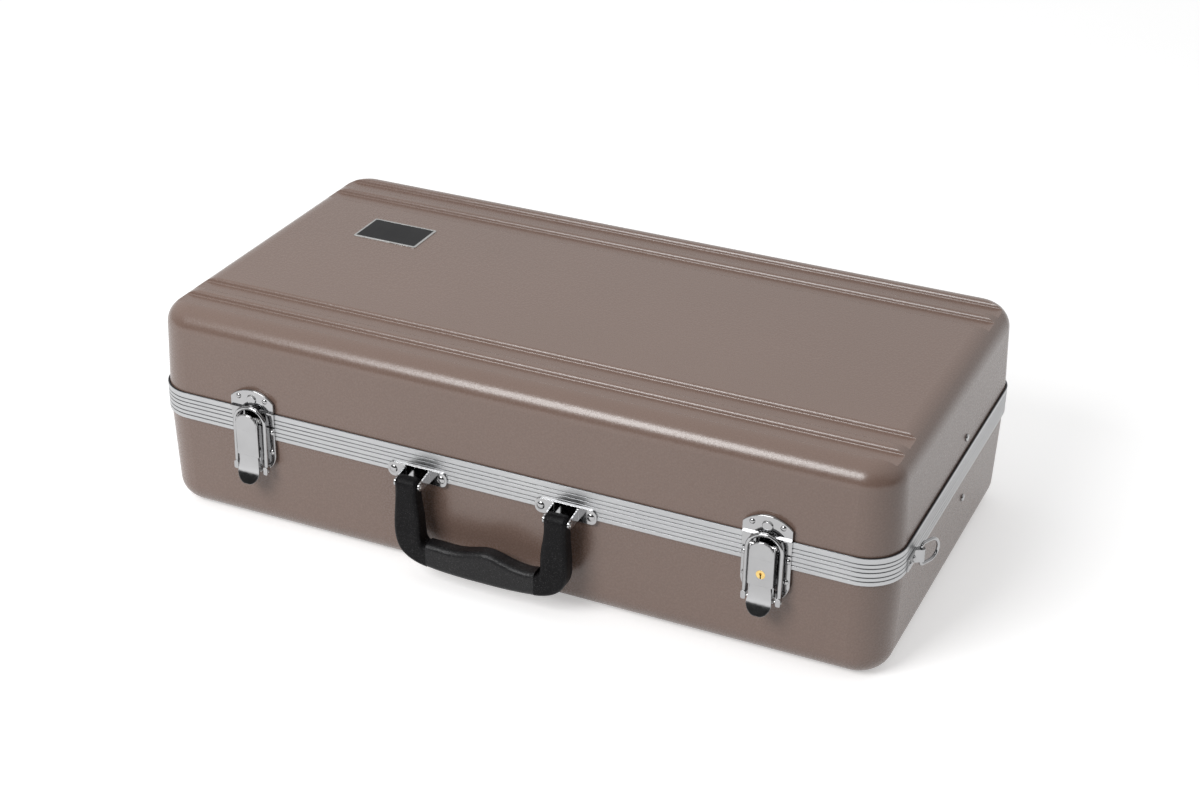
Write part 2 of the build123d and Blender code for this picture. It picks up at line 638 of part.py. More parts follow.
    # ---- finger tab, tucked behind the lever's lower edge and curling outward
    tab_round = TAB_BOTTOM + TAB_W_LOW / 2
    with BuildPart() as tab:
        with BuildSketch(section(cx - TAB_W_LOW / 2)):
            with BuildLine():
                back = Line((LEVER_BACK + TAB_T, TAB_TOP), (LEVER_BACK + TAB_T, LEVER_BOTTOM))
                curl = Spline(back @ 1, (LEVER_BACK + TAB_T - TAB_CURL, TAB_BOTTOM),
                              tangents=((0, -1), (-0.42, -1)))
                tip = Line(curl @ 1, (LEVER_BACK - TAB_CURL, TAB_BOTTOM + 0.4))
                face = Spline(tip @ 1, (LEVER_BACK, LEVER_BOTTOM),
                              tangents=((0.42, 1), (0, 1)))
                Line(face @ 1, (LEVER_BACK, TAB_TOP))
                Line((LEVER_BACK, TAB_TOP), back @ 0)
            make_face()
        extrude(amount=TAB_W_LOW)
        with BuildSketch(front(LEVER_BACK + 2 * TAB_T)):
            with BuildLine():
                left = Polyline((cx - TAB_W_TOP / 2, TAB_TOP),
                                (cx - TAB_W_TOP / 2, LEVER_BOTTOM - 2 * TAB_T),
                                (cx - TAB_W_LOW / 2, tab_round))
                tongue = ThreePointArc(left @ 1, (cx, TAB_BOTTOM), (cx + TAB_W_LOW / 2, tab_round))
                Polyline(tongue @ 1, (cx + TAB_W_TOP / 2, LEVER_BOTTOM - 2 * TAB_T),
                         (cx + TAB_W_TOP / 2, TAB_TOP), left @ 0)
            make_face()
        extrude(amount=3 * TAB_CURL, mode=Mode.INTERSECT)
    tab.part.label = f"finger_tab_{name}"
    export_step(tab.part, f"parts/finger_tab_{name}.step")

    # ---- wire bail with flattened feet, leaning back to the keeper
    lean_plane = Plane(origin=(cx, ROD_Y, ROD_Z), x_dir=(1, 0, 0), z_dir=BAIL_PLANE_Z)
    arch = (ARCH_LOW - ROD_Z) * BAIL_SLOPE
    foot = (SLEEVE_LOW - ROD_Z) * BAIL_SLOPE
    knee = (SLEEVE_HIGH - ROD_Z) * BAIL_SLOPE
    with BuildPart() as bail:
        with BuildLine(lean_plane) as wire_path:
            rise = Line((-BAIL_HALF, 0), (-BAIL_HALF, arch))
            crown = ThreePointArc((-BAIL_HALF, arch), (0, arch + BAIL_HALF), (BAIL_HALF, arch))
            Line((BAIL_HALF, arch), (BAIL_HALF, 0))
        with BuildSketch(Plane(origin=wire_path.line @ 0, z_dir=wire_path.line % 0)):
            Circle(BAIL_WIRE)
        sweep()
        with BuildSketch(lean_plane.offset(-SLEEVE_R)):
            with Locations((-BAIL_HALF, (foot + knee) / 2), (BAIL_HALF, (foot + knee) / 2)):
                RectangleRounded(2 * SLEEVE_R - 0.4, knee - foot, SLEEVE_R - 0.7)
        extrude(amount=2 * SLEEVE_R)
        with Locations((cx, ROD_Y, ROD_Z)):
            Cylinder(ROD_R, LATCH_W, rotation=(0, 90, 0), mode=Mode.SUBTRACT)
    bail.part.label = f"bail_{name}"
    export_step(bail.part, f"parts/bail_{name}.step")

    with BuildPart() as rod:
        with Locations((cx, ROD_Y, ROD_Z)):
            Cylinder(ROD_R, 2 * (BAIL_HALF + SLEEVE_R + 0.3), rotation=(0, 90, 0))
        chamfer(rod.edges().filter_by(GeomType.CIRCLE), 0.2)
    rod.part.label = f"bail_rod_{name}"
    export_step(rod.part, f"parts/bail_rod_{name}.step")

# ---- lock in the right lever
PLUG_DEPTH = 3.6        # behind the lever
SHOULDER_DEPTH = 3.0
KEY_R = 0.9
KEY_W = 0.8
KEY_H = 4.4
with BuildPart() as lock_plug:
    with BuildSketch(front(LEVER_BACK + PLUG_DEPTH)):
        with Locations((LATCH_X, LOCK_Z)):
            Circle(PLUG_R)
    extrude(amount=LEVER_T + PLUG_DEPTH)
    with BuildSketch(front(LEVER_BACK + SHOULDER_DEPTH)):
        with Locations((LATCH_X, LOCK_Z)):
            Circle(PLUG_R + SHOULDER)
    extrude(amount=SHOULDER_DEPTH - STEP_GAP)
    with BuildSketch(front(LEVER_FACE)):
        with Locations((LATCH_X, LOCK_Z + KEY_R / 2)):
            Circle(KEY_R)
            Rectangle(KEY_W, KEY_H, align=(Align.CENTER, Align.MAX))
    extrude(amount=STEP_GAP - SHOULDER_DEPTH, mode=Mode.SUBTRACT)
lock_plug.part.label = "lock_plug"
export_step(lock_plug.part, "parts/lock_plug.step")

with BuildPart() as lock_cam:
    with BuildSketch(front(LEVER_BACK + PLUG_DEPTH + CAM_T)):
        with Locations((LATCH_X, LOCK_Z)):
            Circle(PLUG_R + SHOULDER / 2)
            Rectangle(1.2 * PLUG_R, CAM_R, align=(Align.CENTER, Align.MIN))
    extrude(amount=CAM_T)
lock_cam.part.label = "lock_cam"
export_step(lock_cam.part, "parts/lock_cam.step")

# ---- rivets of the latches
for label, seats, grip in (("keeper_rivets", KEEPER_SEATS, KEEPER_GRIP),
                           ("latch_upper_rivets", UPPER_SEATS, FRAME_GRIP),
                           ("latch_lower_rivets", LOWER_SEATS, SKIN_GRIP)):
    group = placed_rivets(seats, rivet(grip, head_r=SMALL_HEAD_R))
    group.label = label
    export_step(group, f"parts/{label}.step")

# ================================================================ carrying handle
BRACKET_EAR_X = POST_W / 2 + EAR_GAP
BRACKET_L = 2 * (BRACKET_RIVET + BRACKET_H * 0.4)

for name, side in SIDES.items():
    cx = HANDLE_X + side * POST_X
    with BuildPart() as bracket:
        with BuildSketch(front(FRONT)):
            with Locations((cx, BRACKET_Z)):
                RectangleRounded(BRACKET_L, BRACKET_H, BRACKET_CORNER)
        extrude(amount=PLATE)
        for lean in (-1, 1):
            with BuildSketch(section(cx + lean * BRACKET_EAR_X)):
                with BuildLine():
                    Polyline((FRONT - PLATE / 2, BRACKET_Z + BRACKET_EAR_R * 1.5),
                             (FRONT - PLATE / 2, BRACKET_Z - BRACKET_EAR_R * 1.5),
                             (HANDLE_PIN_Y, HANDLE_PIN_Z - BRACKET_EAR_R),
                             (HANDLE_PIN_Y, HANDLE_PIN_Z + BRACKET_EAR_R),
                             (FRONT - PLATE / 2, BRACKET_Z + BRACKET_EAR_R * 1.5))
                make_face()
                with Locations((HANDLE_PIN_Y, HANDLE_PIN_Z)):
                    Circle(BRACKET_EAR_R)
            extrude(amount=lean * PLATE)
        with Locations((cx, HANDLE_PIN_Y, HANDLE_PIN_Z)):
            Cylinder(HANDLE_PIN_R, 2 * BRACKET_L, rotation=(0, 90, 0), mode=Mode.SUBTRACT)
        drill(HANDLE_SEATS, HOLE_R, FRAME_GRIP)
    bracket.part.label = f"handle_bracket_{name}"
    export_step(bracket.part, f"parts/handle_bracket_{name}.step")

with BuildPart() as handle_pins:
    for side in (-1, 1):
        with Locations((HANDLE_X + side * POST_X, HANDLE_PIN_Y, HANDLE_PIN_Z)):
            Cylinder(HANDLE_PIN_R, 2 * (BRACKET_EAR_X + PLATE + 0.5), rotation=(0, 90, 0))
    chamfer(handle_pins.edges().filter_by(GeomType.CIRCLE), 0.3)
handle_pins.part.label = "handle_pins"
export_step(handle_pins.part, "parts/handle_pins.step")

group = placed_rivets(HANDLE_SEATS, rivet(RIM_GRIP, tail_r=SMALL_TAIL_R))
group.label = "handle_rivets"
export_step(group, "parts/handle_rivets.step")

# ---- moulded frame: two posts and a bow between them, thinned to a core under the grip
OUT = POST_X + POST_W / 2
INNER = POST_X - POST_W / 2
BOW_Z = HANDLE_PIN_Z - HANDLE_DROP      # heights below are taken from the bow's underside
HANDLE_TOP = HANDLE_DROP + POST_T
BOW_DEPTH = 4 * POST_T
POST_STRAIGHT = HANDLE_DROP - 2 * BRACKET_EAR_R     # posts keep one width between the ears
BOW_HIP = 32.5                          # where the posts' sides turn into the bow
HIP_SPREAD = 1.2                        # posts widen outward by this much down to the hip
HIP_LEAN = 2.4                          # and inward by this much
BOW_BOTTOM = [(4 - OUT, 10.6), (12.6 - OUT, 4.6), (21.4 - OUT, 2.1), (34 - OUT, 0.7), (0, 0),
              (OUT - 34, 0.7), (OUT - 21.4, 2.1), (OUT - 12.6, 4.6), (OUT - 4, 10.6)]
BOW_TOP = 18.0                          # of the bow beside the grip
GRIP_WAVE = [(-1, 20.6), (-0.72, 20.4), (-0.42, 20.6), (-0.12, 23.6), (0.12, 25.2), (0.34, 23.2),
             (0.66, 19.8), (1, 20.2)]   # places are shares of the grip's half length
GRIP_SOLE = 0.6                         # the grip's underside under the bow's
CORE_Z = (4.4, 14.4)
CORE_Y = (HANDLE_PIN_Y - 2.2, HANDLE_PIN_Y + 4.4)
bow_plane = Plane(origin=(HANDLE_X, HANDLE_PIN_Y + 2 * POST_T, BOW_Z), x_dir=(1, 0, 0),
                  z_dir=(0, -1, 0))


def across(x):
    """Plane across the handle at x; its local axes are Y from the pin and Z from the bow."""
    return Plane(origin=(x, HANDLE_PIN_Y, BOW_Z), x_dir=(0, 1, 0), z_dir=(1, 0, 0))


def handle_side(x, length):
    """Side profile of the handle over a length: rounded eye at the pin, fuller at the grip."""
    eye = POST_T / 2
    with BuildPart() as slab:
        with BuildSketch(across(x)):
            with BuildLine():
                face = Spline((-eye, HANDLE_DROP), (-eye - 0.5, BOW_HIP), (-eye - 0.3, BOW_TOP / 2),
                              (0.6 - eye, -2 * GRIP_SOLE), tangents=((0, -1), (0.3, -1)))
                low = Line(face @ 1, (eye + 1.2, -2 * GRIP_SOLE))
                spine = Spline(low @ 1, (eye + 2.2, BOW_TOP / 2), (eye + 0.6, BOW_HIP),
                               (eye, HANDLE_DROP), tangents=((0.2, 1), (0, 1)))
                ThreePointArc(spine @ 1, (0, HANDLE_DROP + eye), face @ 0)
            make_face()
        extrude(amount=length)
    return slab.part


with BuildPart() as handle_frame:
    with BuildSketch(bow_plane):
        with BuildLine():
            left_out = Line((-OUT, HANDLE_TOP), (-OUT, POST_STRAIGHT))
            right_out = Line((OUT, POST_STRAIGHT), (OUT, HANDLE_TOP))
            Spline(left_out @ 1, (-OUT - HIP_SPREAD, BOW_HIP), *BOW_BOTTOM,
                   (OUT + HIP_SPREAD, BOW_HIP), right_out @ 0,
                   tangents=(left_out % 1, right_out % 0), tangent_scalars=(1, 1))
            right_in = Line((INNER, HANDLE_TOP), (INNER, POST_STRAIGHT))
            left_in = Line((-INNER, POST_STRAIGHT), (-INNER, HANDLE_TOP))
            low = Line((GRIP_HALF, BOW_TOP), (-GRIP_HALF, BOW_TOP))
            Spline(right_in @ 1, (INNER - HIP_LEAN, BOW_HIP), low @ 0,
                   tangents=(right_in % 1, low % 0), tangent_scalars=(1, 1))
            Spline(low @ 1, (HIP_LEAN - INNER, BOW_HIP), left_in @ 0,
                   tangents=(low % 1, left_in % 0), tangent_scalars=(1, 1))
            Line(right_out @ 1, right_in @ 0)
            Line(left_in @ 1, left_out @ 0)
        make_face()
    extrude(amount=BOW_DEPTH)
    add(handle_side(HANDLE_X - 2 * POST_X, 4 * POST_X), mode=Mode.INTERSECT)
    fillet(handle_frame.edges().filter_by(GeomType.LINE, reverse=True), POST_EDGE_R)
    with BuildSketch(across(HANDLE_X - GRIP_HALF)):
        with Locations((0, BOW_TOP / 2)):
            Rectangle(BOW_DEPTH, 3 * BOW_TOP)
        with Locations((sum(CORE_Y) / 2 - HANDLE_PIN_Y, sum(CORE_Z) / 2)):
            Rectangle(CORE_Y[1] - CORE_Y[0], CORE_Z[1] - CORE_Z[0], mode=Mode.SUBTRACT)
    extrude(amount=2 * GRIP_HALF, mode=Mode.SUBTRACT)
    with Locations((HANDLE_X, HANDLE_PIN_Y, HANDLE_PIN_Z)):
        Cylinder(HANDLE_PIN_R + HANDLE_FIT, 4 * POST_X, rotation=(0, 90, 0), mode=Mode.SUBTRACT)
handle_frame.part.label = "handle_frame"
export_step(handle_frame.part, "parts/handle_frame.step")

# ---- grip sleeve with a waved top
with BuildPart() as handle_grip:
    with BuildSketch(bow_plane):
        with BuildLine():
            crest = Spline(*[(share * GRIP_HALF, z) for share, z in GRIP_WAVE])
            right_end = Line(crest @ 1, (GRIP_HALF, BOW_BOTTOM[-3][1] - GRIP_SOLE))
            sole = Spline(right_end @ 1, (GRIP_HALF / 2, -GRIP_SOLE / 2), (0, -GRIP_SOLE),
                          (-GRIP_HALF / 2, -GRIP_SOLE / 2),
                          (-GRIP_HALF, BOW_BOTTOM[2][1] - GRIP_SOLE))
            Line(sole @ 1, crest @ 0)
        make_face()
    extrude(amount=BOW_DEPTH)
    add(handle_side(HANDLE_X - GRIP_HALF, 2 * GRIP_HALF), mode=Mode.INTERSECT)
    long_edges = handle_grip.edges().filter_by(lambda e: e.length > 1.5 * GRIP_HALF)
    fillet(long_edges, GRIP_EDGE_R)
    with BuildSketch(across(HANDLE_X - GRIP_HALF)):
        with Locations((sum(CORE_Y) / 2 - HANDLE_PIN_Y, sum(CORE_Z) / 2)):
            Rectangle(CORE_Y[1] - CORE_Y[0], CORE_Z[1] - CORE_Z[0])
    extrude(amount=2 * GRIP_HALF, mode=Mode.SUBTRACT)
handle_grip.part.label = "handle_grip"
export_step(handle_grip.part, "parts/handle_grip.step")

# ================================================================ strap rings at the ends
for name, side in SIDES.items():
    swing = radians(RING_SWING)
    bar = (side * RING_BAR_X, RING_Y)
    outward = Vector(side * sin(swing), cos(swing), 0)
    lug_y = RING_RIVET_Y - 2 * RING_RIVET_GAP
    with BuildPart() as ring_bracket:
        with BuildSketch(Plane.XY.offset(RING_Z - BARREL_H / 2)):
            with BuildLine():
                Polyline((side * END, lug_y), (side * (END + PLATE), lug_y),
                         (side * (END + PLATE), RING_Y - 1.7 * BARREL_R),
                         (side * RING_BAR_X, RING_Y - BARREL_R), (side * RING_BAR_X, RING_Y),
                         (side * END, RING_Y), (side * END, lug_y))
            make_face()
            with Locations(bar):
                Circle(BARREL_R)
                Circle(RING_WIRE + RING_FIT, mode=Mode.SUBTRACT)
        extrude(amount=BARREL_H)
        drill(RING_SEATS, HOLE_R, FRAME_GRIP)
    ring_bracket.part.label = f"ring_bracket_{name}"
    export_step(ring_bracket.part, f"parts/ring_bracket_{name}.step")

    ring_plane = Plane(origin=(*bar, RING_Z), x_dir=outward, z_dir=outward.cross(Vector(0, 0, 1)))
    half = RING_HALF - RING_WIRE
    with BuildPart() as strap_ring:
        with BuildLine(ring_plane):
            spine = Line((0, 0), (0, half - RING_BEND))
            bend = JernArc(spine @ 1, (0, 1), RING_BEND, -90)
            arm = Line(bend @ 1, (RING_REACH - RING_WIRE - half, half))
            nose = JernArc(arm @ 1, (1, 0), half, -180)
            back = Line(nose @ 1, (RING_BEND, -half))
            bend2 = JernArc(back @ 1, (-1, 0), RING_BEND, -90)
            Line(bend2 @ 1, (0, 0))
        with BuildSketch(Plane(origin=spine @ 0, z_dir=(0, 0, 1))):
            Circle(RING_WIRE)
        sweep()
    strap_ring.part.label = f"strap_ring_{name}"
    export_step(strap_ring.part, f"parts/strap_ring_{name}.step")

group = placed_rivets(RING_SEATS, rivet(FRAME_GRIP, head_r=SMALL_HEAD_R))
group.label = "ring_rivets"
export_step(group, "parts/ring_rivets.step")

# ================================================================ hinges at the rear
knuckle_l = HINGE_W / KNUCKLES
clear_z = KNUCKLE_R + 0.5


def hinge_leaf(cx, turn, first, hole_r):
    """One leaf; turn is -1 for the base leaf below the pin and 1 for the lid leaf above it."""
    with BuildPart() as leaf:
        with Locations((cx, REAR, PARTING + turn * (clear_z + HINGE_LEAF) / 2)):
            Box(HINGE_W, PLATE, HINGE_LEAF - clear_z, align=(Align.CENTER, Align.MIN, Align.CENTER))
        for i in range(first, KNUCKLES, 2):
            x = cx + (i + 0.5) * knuckle_l - HINGE_W / 2
            with Locations((x, REAR, PARTING + turn * clear_z / 2)):
                Box(knuckle_l - KNUCKLE_GAP, PLATE, clear_z,
                    align=(Align.CENTER, Align.MIN, Align.CENTER))
            with Locations((x, HINGE_Y, PARTING)):
                Cylinder(KNUCKLE_R, knuckle_l - KNUCKLE_GAP, rotation=(0, 90, 0))
        with Locations((cx, HINGE_Y, PARTING)):
            Cylinder(hole_r, 2 * HINGE_W, rotation=(0, 90, 0), mode=Mode.SUBTRACT)
        drill(HINGE_BASE_SEATS + HINGE_LID_SEATS, HOLE_R, FRAME_GRIP)
    return leaf.part


for name, side in SIDES.items():
    for half_name, turn, first, hole_r in (("base", -1, 0, HINGE_PIN_R),
                                           ("lid", 1, 1, HINGE_PIN_R + HINGE_FIT)):
        leaf = hinge_leaf(side * HINGE_X, turn, first, hole_r)
        leaf.label = f"hinge_{half_name}_leaf_{name}"
        export_step(leaf, f"parts/hinge_{half_name}_leaf_{name}.step")

with BuildPart() as hinge_pins:
    with Locations((-HINGE_X, HINGE_Y, PARTING), (HINGE_X, HINGE_Y, PARTING)):
        Cylinder(HINGE_PIN_R, HINGE_W + 1.2, rotation=(0, 90, 0))
    chamfer(hinge_pins.edges().filter_by(GeomType.CIRCLE), 0.3)
hinge_pins.part.label = "hinge_pins"
export_step(hinge_pins.part, "parts/hinge_pins.step")

for label, seats in (("hinge_base_rivets", HINGE_BASE_SEATS), ("hinge_lid_rivets", HINGE_LID_SEATS)):
    group = placed_rivets(seats, rivet(FRAME_GRIP, head_r=SMALL_HEAD_R))
    group.label = label
    export_step(group, f"parts/{label}.step")

# ================================================================ lid stay at the right end
SKIN_BASE = END - PROUD - (BASE_RIM - STAY_A[1] - STAY_DOME_R) * tan(radians(BASE_DRAFT))
SKIN_LID = END - PROUD - (STAY_B[1] - STAY_DOME_R - LID_RIM) * tan(radians(LID_DRAFT))
WALL_BASE = END - PROUD - WALL - (BASE_RIM - STAY_A[1] + STAY_COLLAR_R) * tan(radians(BASE_DRAFT))
WALL_LID = END - PROUD - WALL - (STAY_B[1] + STAY_COLLAR_R - LID_RIM) * tan(radians(LID_DRAFT))


def stay_arm(start, end, x, start_r, end_r):
    """Flat arm with rounded ends between two points of a cross plane, centred on x."""
    run = Vector(end[0] - start[0], end[1] - start[1])
    mid = ((start[0] + end[0]) / 2, (start[1] + end[1]) / 2)
    with BuildPart() as arm:
        with BuildSketch(section(x - ARM_T / 2)):
            with Locations(Location(mid, Vector(1, 0).get_signed_angle(run, Vector(0, 0, 1)))):
                SlotCenterToCenter(run.length, ARM_W)
            with Locations(start):
                Circle(start_r, mode=Mode.SUBTRACT)
            with Locations(end):
                Circle(end_r, mode=Mode.SUBTRACT)
        extrude(amount=ARM_T)
    return arm.part


def stay_pin(point, skin, wall, arm_x):
    """Pivot rivet: domed head outside, collar inside, peened head behind the arm."""
    with BuildPart() as pin:
        with Locations((skin, *point)):
            Cylinder(STAY_DOME_R, HEAD_H, rotation=(0, 90, 0), align=UPWARD)
            Cylinder(STAY_PIN_R, skin - arm_x + ARM_T / 2 + STAY_FIT, rotation=(0, 90, 0),
                     align=DOWNWARD)
        fillet(pin.edges().group_by(Axis.X)[-1], HEAD_H * 0.7)
        with Locations((wall, *point)):
            Cylinder(STAY_COLLAR_R, wall - arm_x - ARM_T / 2 - STAY_FIT, rotation=(0, 90, 0),
                     align=DOWNWARD)
        with Locations((arm_x - ARM_T / 2 - STAY_FIT, *point)):
            Cylinder(STAY_HEAD_R, TAIL_H, rotation=(0, 90, 0), align=DOWNWARD)
    return pin.part


stay_lower = stay_arm(STAY_A, STAY_M, LOWER_ARM_X, STAY_HOLE_R, STAY_PIN_R)
stay_lower.label = "stay_lower_arm"
export_step(stay_lower, "parts/stay_lower_arm.step")
stay_upper = stay_arm(STAY_B, STAY_M, UPPER_ARM_X, STAY_HOLE_R, STAY_HOLE_R + STAY_FIT)
stay_upper.label = "stay_upper_arm"
export_step(stay_upper, "parts/stay_upper_arm.step")
base_pin = stay_pin(STAY_A, SKIN_BASE, WALL_BASE, LOWER_ARM_X)
base_pin.label = "stay_base_rivet"
export_step(base_pin, "parts/stay_base_rivet.step")
lid_pin = stay_pin(STAY_B, SKIN_LID, WALL_LID, UPPER_ARM_X)
lid_pin.label = "stay_lid_rivet"
export_step(lid_pin, "parts/stay_lid_rivet.step")

with BuildPart() as mid_pin:
    low_x = LOWER_ARM_X - ARM_T / 2
    high_x = UPPER_ARM_X + ARM_T / 2 + STAY_FIT
    with Locations((low_x, *STAY_M)):
        Cylinder(STAY_PIN_R, high_x - low_x, rotation=(0, 90, 0), align=UPWARD)
        Cylinder(STAY_HEAD_R, TAIL_H, rotation=(0, 90, 0), align=DOWNWARD)
    with Locations((high_x, *STAY_M)):
        Cylinder(STAY_HEAD_R, TAIL_H, rotation=(0, 90, 0), align=UPWARD)
mid_pin.part.label = "stay_mid_rivet"
export_step(mid_pin.part, "parts/stay_mid_rivet.step")

# ================================================================ rubber feet on the rear
for label, z, rim, draft, turn in (("base_feet", BASE_FOOT_Z, BASE_RIM, BASE_DRAFT, -1),
                                   ("lid_feet", LID_FOOT_Z, LID_RIM, LID_DRAFT, 1)):
    lean = radians(draft)
    face_y = REAR - PROUD - abs(rim - z) * tan(lean)
    with BuildPart() as feet:
        for side in (-1, 1):
            seat = Plane(origin=(side * FOOT_X, face_y, z), x_dir=(1, 0, 0),
                         z_dir=(0, cos(lean), turn * sin(lean)))
            with BuildSketch(seat):
                Circle(FOOT_R)
            extrude(amount=FOOT_H, taper=6)
        fillet(feet.edges().filter_by(GeomType.CIRCLE).group_by(Axis.Y)[-1], 2.0)
    feet.part.label = label
    export_step(feet.part, f"parts/{label}.step")

# ================================================================ padding
pad_mid = (PAD_LEFT + PAD_RIGHT) / 2
pad_plane = Plane(origin=(pad_mid, 0, PAD_HIGH), x_dir=(1, 0, 0), z_dir=(0, 0, -1))


def well(x_range, y_range, floor, radius, top=PAD_HIGH):
    """Rounded recess cut from the top of whatever is being built."""
    with BuildSketch(Plane.XY.offset(floor)) as mouth:
        with Locations((sum(x_range) / 2, sum(y_range) / 2)):
            RectangleRounded(x_range[1] - x_range[0], y_range[1] - y_range[0], radius)
    extrude(mouth.sketch, amount=top - floor + 1, mode=Mode.SUBTRACT)


BOARD_X = (BOX_X[0] - REBATE, BOX_X[1] + REBATE)
BOARD_Y = (BOX_Y[0] - REBATE, BOX_Y[1] + REBATE)
BOARD_PIN = (sum(BOARD_X) / 2, BOARD_Y[1] - BOARD_T / 2, PAD_HIGH - BOARD_T / 2)
BOARD_PIN_L = BOARD_X[1] - BOARD_X[0] + 2 * BOARD_PIN_SEAT
MOUTH_CORNER = 3.0

with BuildPart() as cradle:
    add(tub(pad_plane, PAD_RIGHT - PAD_LEFT, 2 * PAD_HALF_Y, PAD_CORNER,
            PAD_HIGH - PAD_LOW, BASE_DRAFT, PAD_EDGE_R))
    with BuildSketch(Plane(origin=(BELL_X, BELL_Y, BELL_Z), x_dir=(1, 0, 0), z_dir=(0, -1, 0))):
        with BuildLine():
            flare = Spline(*BELL_FLARE)
            stem = (BELL_FLARE[-1][0] + BELL_STEM, BELL_FLARE[-1][1])
            Polyline(flare @ 1, stem, (stem[0], 0), (0, 0), flare @ 0)
        make_face()
    revolve(axis=Axis((BELL_X, BELL_Y, BELL_Z), (1, 0, 0)), mode=Mode.SUBTRACT)
    well(TUBING_X, TUBING_Y, TUBING_FLOOR, TUBING_R)
    well(VALVE_X, VALVE_Y, VALVE_FLOOR, VALVE_R)
    well(BOX_X, BOX_Y, BOX_FLOOR, BOX_R)
    well((BOARD_X[0] - BOARD_GAP, BOARD_X[1] + BOARD_GAP),
         (BOARD_Y[0] - BOARD_GAP, BOARD_Y[1] + BOARD_GAP), PAD_HIGH - BOARD_T - BOARD_LIFT,
         BOARD_GAP)
    well(MOUTH_X, MOUTH_Y, MOUTH_LOW, MOUTH_CORNER)
    with Locations(BOARD_PIN):
        Cylinder(BOARD_PIN_R, BOARD_PIN_L, rotation=(0, 90, 0), mode=Mode.SUBTRACT)
cradle.part.label = "cradle"
export_step(cradle.part, "parts/cradle.step")

with BuildPart() as mouthpiece_block:
    with BuildSketch(Plane.XY.offset(MOUTH_LOW)):
        with Locations((sum(MOUTH_X) / 2, sum(MOUTH_Y) / 2)):
            RectangleRounded(MOUTH_X[1] - MOUTH_X[0], MOUTH_Y[1] - MOUTH_Y[0], MOUTH_CORNER)
    extrude(amount=MOUTH_HIGH - MOUTH_LOW)
    fillet(mouthpiece_block.faces().sort_by(Axis.Z)[-1].edges(), MOUTH_CORNER * 0.7)
    with BuildSketch(Plane(origin=(sum(MOUTH_X) / 2, sum(MOUTH_Y) / 2, MOUTH_HIGH),
                           x_dir=(1, 0, 0), z_dir=(0, 0, -1))):
        with GridLocations(3 * CUP_R, 1, 3, 1):
            Circle(CUP_R)
    extrude(amount=MOUTH_HIGH - MOUTH_LOW - CUP_FLOOR, taper=CUP_TAPER, mode=Mode.SUBTRACT)
mouthpiece_block.part.label = "mouthpiece_block"
export_step(mouthpiece_block.part, "parts/mouthpiece_block.step")

with BuildPart() as box_board:
    with BuildSketch(Plane.XY.offset(PAD_HIGH - BOARD_T)):
        with Locations((sum(BOARD_X) / 2, (BOARD_Y[0] + BOARD_Y[1] - BOARD_T / 2) / 2)):
            RectangleRounded(BOARD_X[1] - BOARD_X[0], BOARD_Y[1] - BOARD_Y[0] - BOARD_T / 2,
                             BOARD_T / 3)
    extrude(amount=BOARD_T)
    with Locations(BOARD_PIN):
        Cylinder(BOARD_T / 2, BOARD_X[1] - BOARD_X[0], rotation=(0, 90, 0))
        Cylinder(BOARD_PIN_R + HANDLE_FIT, 2 * (BOARD_X[1] - BOARD_X[0]), rotation=(0, 90, 0),
                 mode=Mode.SUBTRACT)
box_board.part.label = "compartment_lid"
export_step(box_board.part, "parts/compartment_lid.step")

with BuildPart() as board_pin:
    with Locations(BOARD_PIN):
        Cylinder(BOARD_PIN_R, BOARD_PIN_L, rotation=(0, 90, 0))
board_pin.part.label = "compartment_pin"
export_step(board_pin.part, "parts/compartment_pin.step")

with BuildPart() as pull_tab:
    with Locations((sum(BOARD_X) / 2, BOARD_Y[0] - PULL_OVERHANG, PAD_HIGH)):
        Box(PULL_W, PULL_L, PULL_T, align=(Align.CENTER, Align.MIN, Align.MIN))
    fillet(pull_tab.edges().filter_by(Axis.Z), PULL_OVERHANG)
pull_tab.part.label = "pull_tab"
export_step(pull_tab.part, "parts/pull_tab.step")

with BuildPart() as neck_strap:
    with Locations((STRAP_X, sum(STRAP_Y) / 2, PAD_HIGH)):
        Box(STRAP_W, STRAP_Y[1] - STRAP_Y[0], STRAP_T, align=UPWARD)
    fillet(neck_strap.edges().filter_by(Axis.Z), STRAP_W / 2 - 1)
neck_strap.part.label = "neck_strap"
export_step(neck_strap.part, "parts/neck_strap.step")

with BuildPart() as strap_studs:
    with Locations(*[(STRAP_X, y, PAD_HIGH + STRAP_T)
                     for y in (STRAP_Y[0] + STUD_INSET, STRAP_Y[1] - STUD_INSET)]):
        Cylinder(STUD_R, STUD_H, align=UPWARD)
    fillet(strap_studs.edges().group_by(Axis.Z)[-1], STUD_H * 0.6)
strap_studs.part.label = "strap_studs"
export_step(strap_studs.part, "parts/strap_studs.step")

with BuildPart() as lid_pad:
    add(tub(Plane.XY.offset(LID_PAD_LOW), 2 * LID_PAD_HALF_X, 2 * LID_PAD_HALF_Y, PAD_CORNER,
            LID_PAD_HIGH - LID_PAD_LOW, LID_DRAFT, LID_PAD_EDGE_R))
lid_pad.part.label = "lid_pad"
export_step(lid_pad.part, "parts/lid_pad.step")
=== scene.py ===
"""Looks of the trumpet case: pebbled taupe shells, ribbed aluminium frame, bright hardware, plush."""

import json
import math

import bmesh
import bpy
import numpy as np
from mathutils import Matrix, Vector, noise


